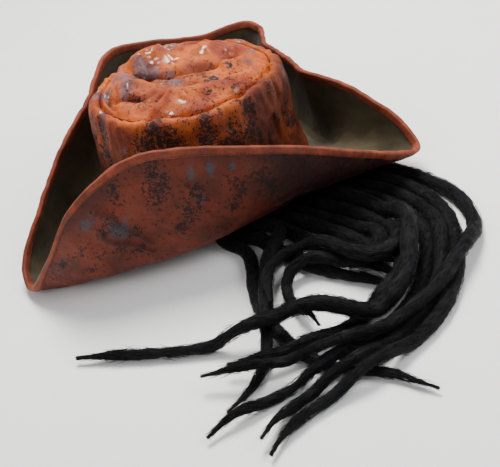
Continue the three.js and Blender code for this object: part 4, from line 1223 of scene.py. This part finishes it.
class HAT_OT_stage(bpy.types.Operator):
    """Sets the pale table, the soft lights and the camera"""

    bl_idname = "hat.set_stage"
    bl_label = "Set the stage"

    def execute(self, context):
        look = context.scene.hat_stage
        set_table(look.floor)
        set_lights(look.key, look.sky)
        set_camera()
        return {"FINISHED"}


class HAT_OT_locks(bpy.types.Operator):
    """Lays the felted locks on the table"""

    bl_idname = "hat.lay_locks"
    bl_label = "Lay the locks"

    def execute(self, context):
        props = context.scene.hat_locks
        look = yarn_finish("felted_yarn", props.yarn)
        for number, (radius, centre) in enumerate(lay_locks(), 1):
            shape_lock(number, radius, centre, props, look)
        return {"FINISHED"}


class HAT_OT_crown(bpy.types.Operator):
    """Shapes the crown's wall and top"""

    bl_idname = "hat.shape_crown"
    bl_label = "Shape the crown"

    def execute(self, context):
        look = context.scene.hat_leather
        tones = (look.orange, look.rust, look.bloom)
        wrinkle = look.wrinkle / DRAWN_WRINKLE
        shape_crown_wall(leather_finish("crown_leather", look, *tones, 0.58, 0.3, 0.6), wrinkle)
        shape_crown_top(leather_finish("tip_leather", look, *tones, 0.55, 0.32, 0.9), wrinkle)
        return {"FINISHED"}


class HAT_OT_brim(bpy.types.Operator):
    """Shapes the brim's leather and its cloth"""

    bl_idname = "hat.shape_brim"
    bl_label = "Shape the brim"

    def execute(self, context):
        look = context.scene.hat_leather
        wrinkle = look.wrinkle / DRAWN_WRINKLE
        leather = leather_finish("brim_leather", look, look.oxblood, look.umber, look.slate, 0.58, 0.2, 0.3)
        cloth = cloth_finish("olive_cloth", context.scene.hat_brim.olive)
        brim_layer("brim_leather", "brim_shell", "brim_leather", leather, (0.0, SHELL_WALL),
                   820, (64, 16), 0.6, wrinkle)
        brim_layer("brim_cloth", "brim_facing", "olive_cloth", cloth, (SHELL_WALL + GAP, STACK),
                   600, (16, 46), 0, wrinkle)
        return {"FINISHED"}


class HAT_OT_binding(bpy.types.Operator):
    """Folds the binding over the rim and stitches it"""

    bl_idname = "hat.bind_rim"
    bl_label = "Bind the rim"

    def execute(self, context):
        props = context.scene.hat_brim
        wrinkle = context.scene.hat_leather.wrinkle / DRAWN_WRINKLE
        shape_binding(props, wrinkle, tape_finish("binding_tape", props.tape))
        shape_stitches(props, wrinkle, tape_finish("binding_thread", props.thread))
        return {"FINISHED"}


class HAT_OT_band(bpy.types.Operator):
    """Finishes the carrier band that the locks are sewn under"""

    bl_idname = "hat.finish_band"
    bl_label = "Finish the band"

    def execute(self, context):
        f = Finish("carrier_tape")
        tone = f.blend(f.span(f.noise(300, 3), 0.35, 0.7), (0.008, 0.008, 0.008), (0.02, 0.018, 0.016))
        f.set(Base_Color=tone, Roughness=0.85, Sheen_Weight=0.2, Normal=f.bump(f.cells(1400), 0.0003, 0.5))
        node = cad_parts["lock_tape"]
        node.data.materials.clear()
        node.data.materials.append(f.material)
        return {"FINISHED"}


class HAT_PT_panel(bpy.types.Panel):
    """Lists the steps of the hat"""

    bl_label = "Three-cornered hat"
    bl_idname = "HAT_PT_panel"
    bl_space_type = "VIEW_3D"
    bl_region_type = "UI"
    bl_category = "Hat"

    def draw(self, context):
        for step in STEPS:
            self.layout.operator(step.bl_idname)
        for group in GROUPS:
            box = self.layout.box()
            holder = getattr(context.scene, group)
            for key in GROUPS[group].__annotations__:
                box.prop(holder, key)


STEPS = (HAT_OT_stage, HAT_OT_locks, HAT_OT_crown, HAT_OT_brim, HAT_OT_binding, HAT_OT_band)
GROUPS = {"hat_leather": LeatherLook, "hat_brim": BrimLook, "hat_locks": LockLook, "hat_stage": StageLook}


def register():
    for item in (*GROUPS.values(), *STEPS, HAT_PT_panel):
        bpy.utils.register_class(item)
    for key, group in GROUPS.items():
        setattr(bpy.types.Scene, key, bpy.props.PointerProperty(type=group))


def unregister():
    for key in GROUPS:
        delattr(bpy.types.Scene, key)
    for item in reversed((*GROUPS.values(), *STEPS, HAT_PT_panel)):
        bpy.utils.unregister_class(item)


def main():
    """Runs every step in order."""
    register()
    bpy.ops.hat.set_stage()
    bpy.ops.hat.lay_locks()
    bpy.ops.hat.shape_crown()
    bpy.ops.hat.shape_brim()
    bpy.ops.hat.bind_rim()
    bpy.ops.hat.finish_band()


if __name__ == "__main__":
    main()
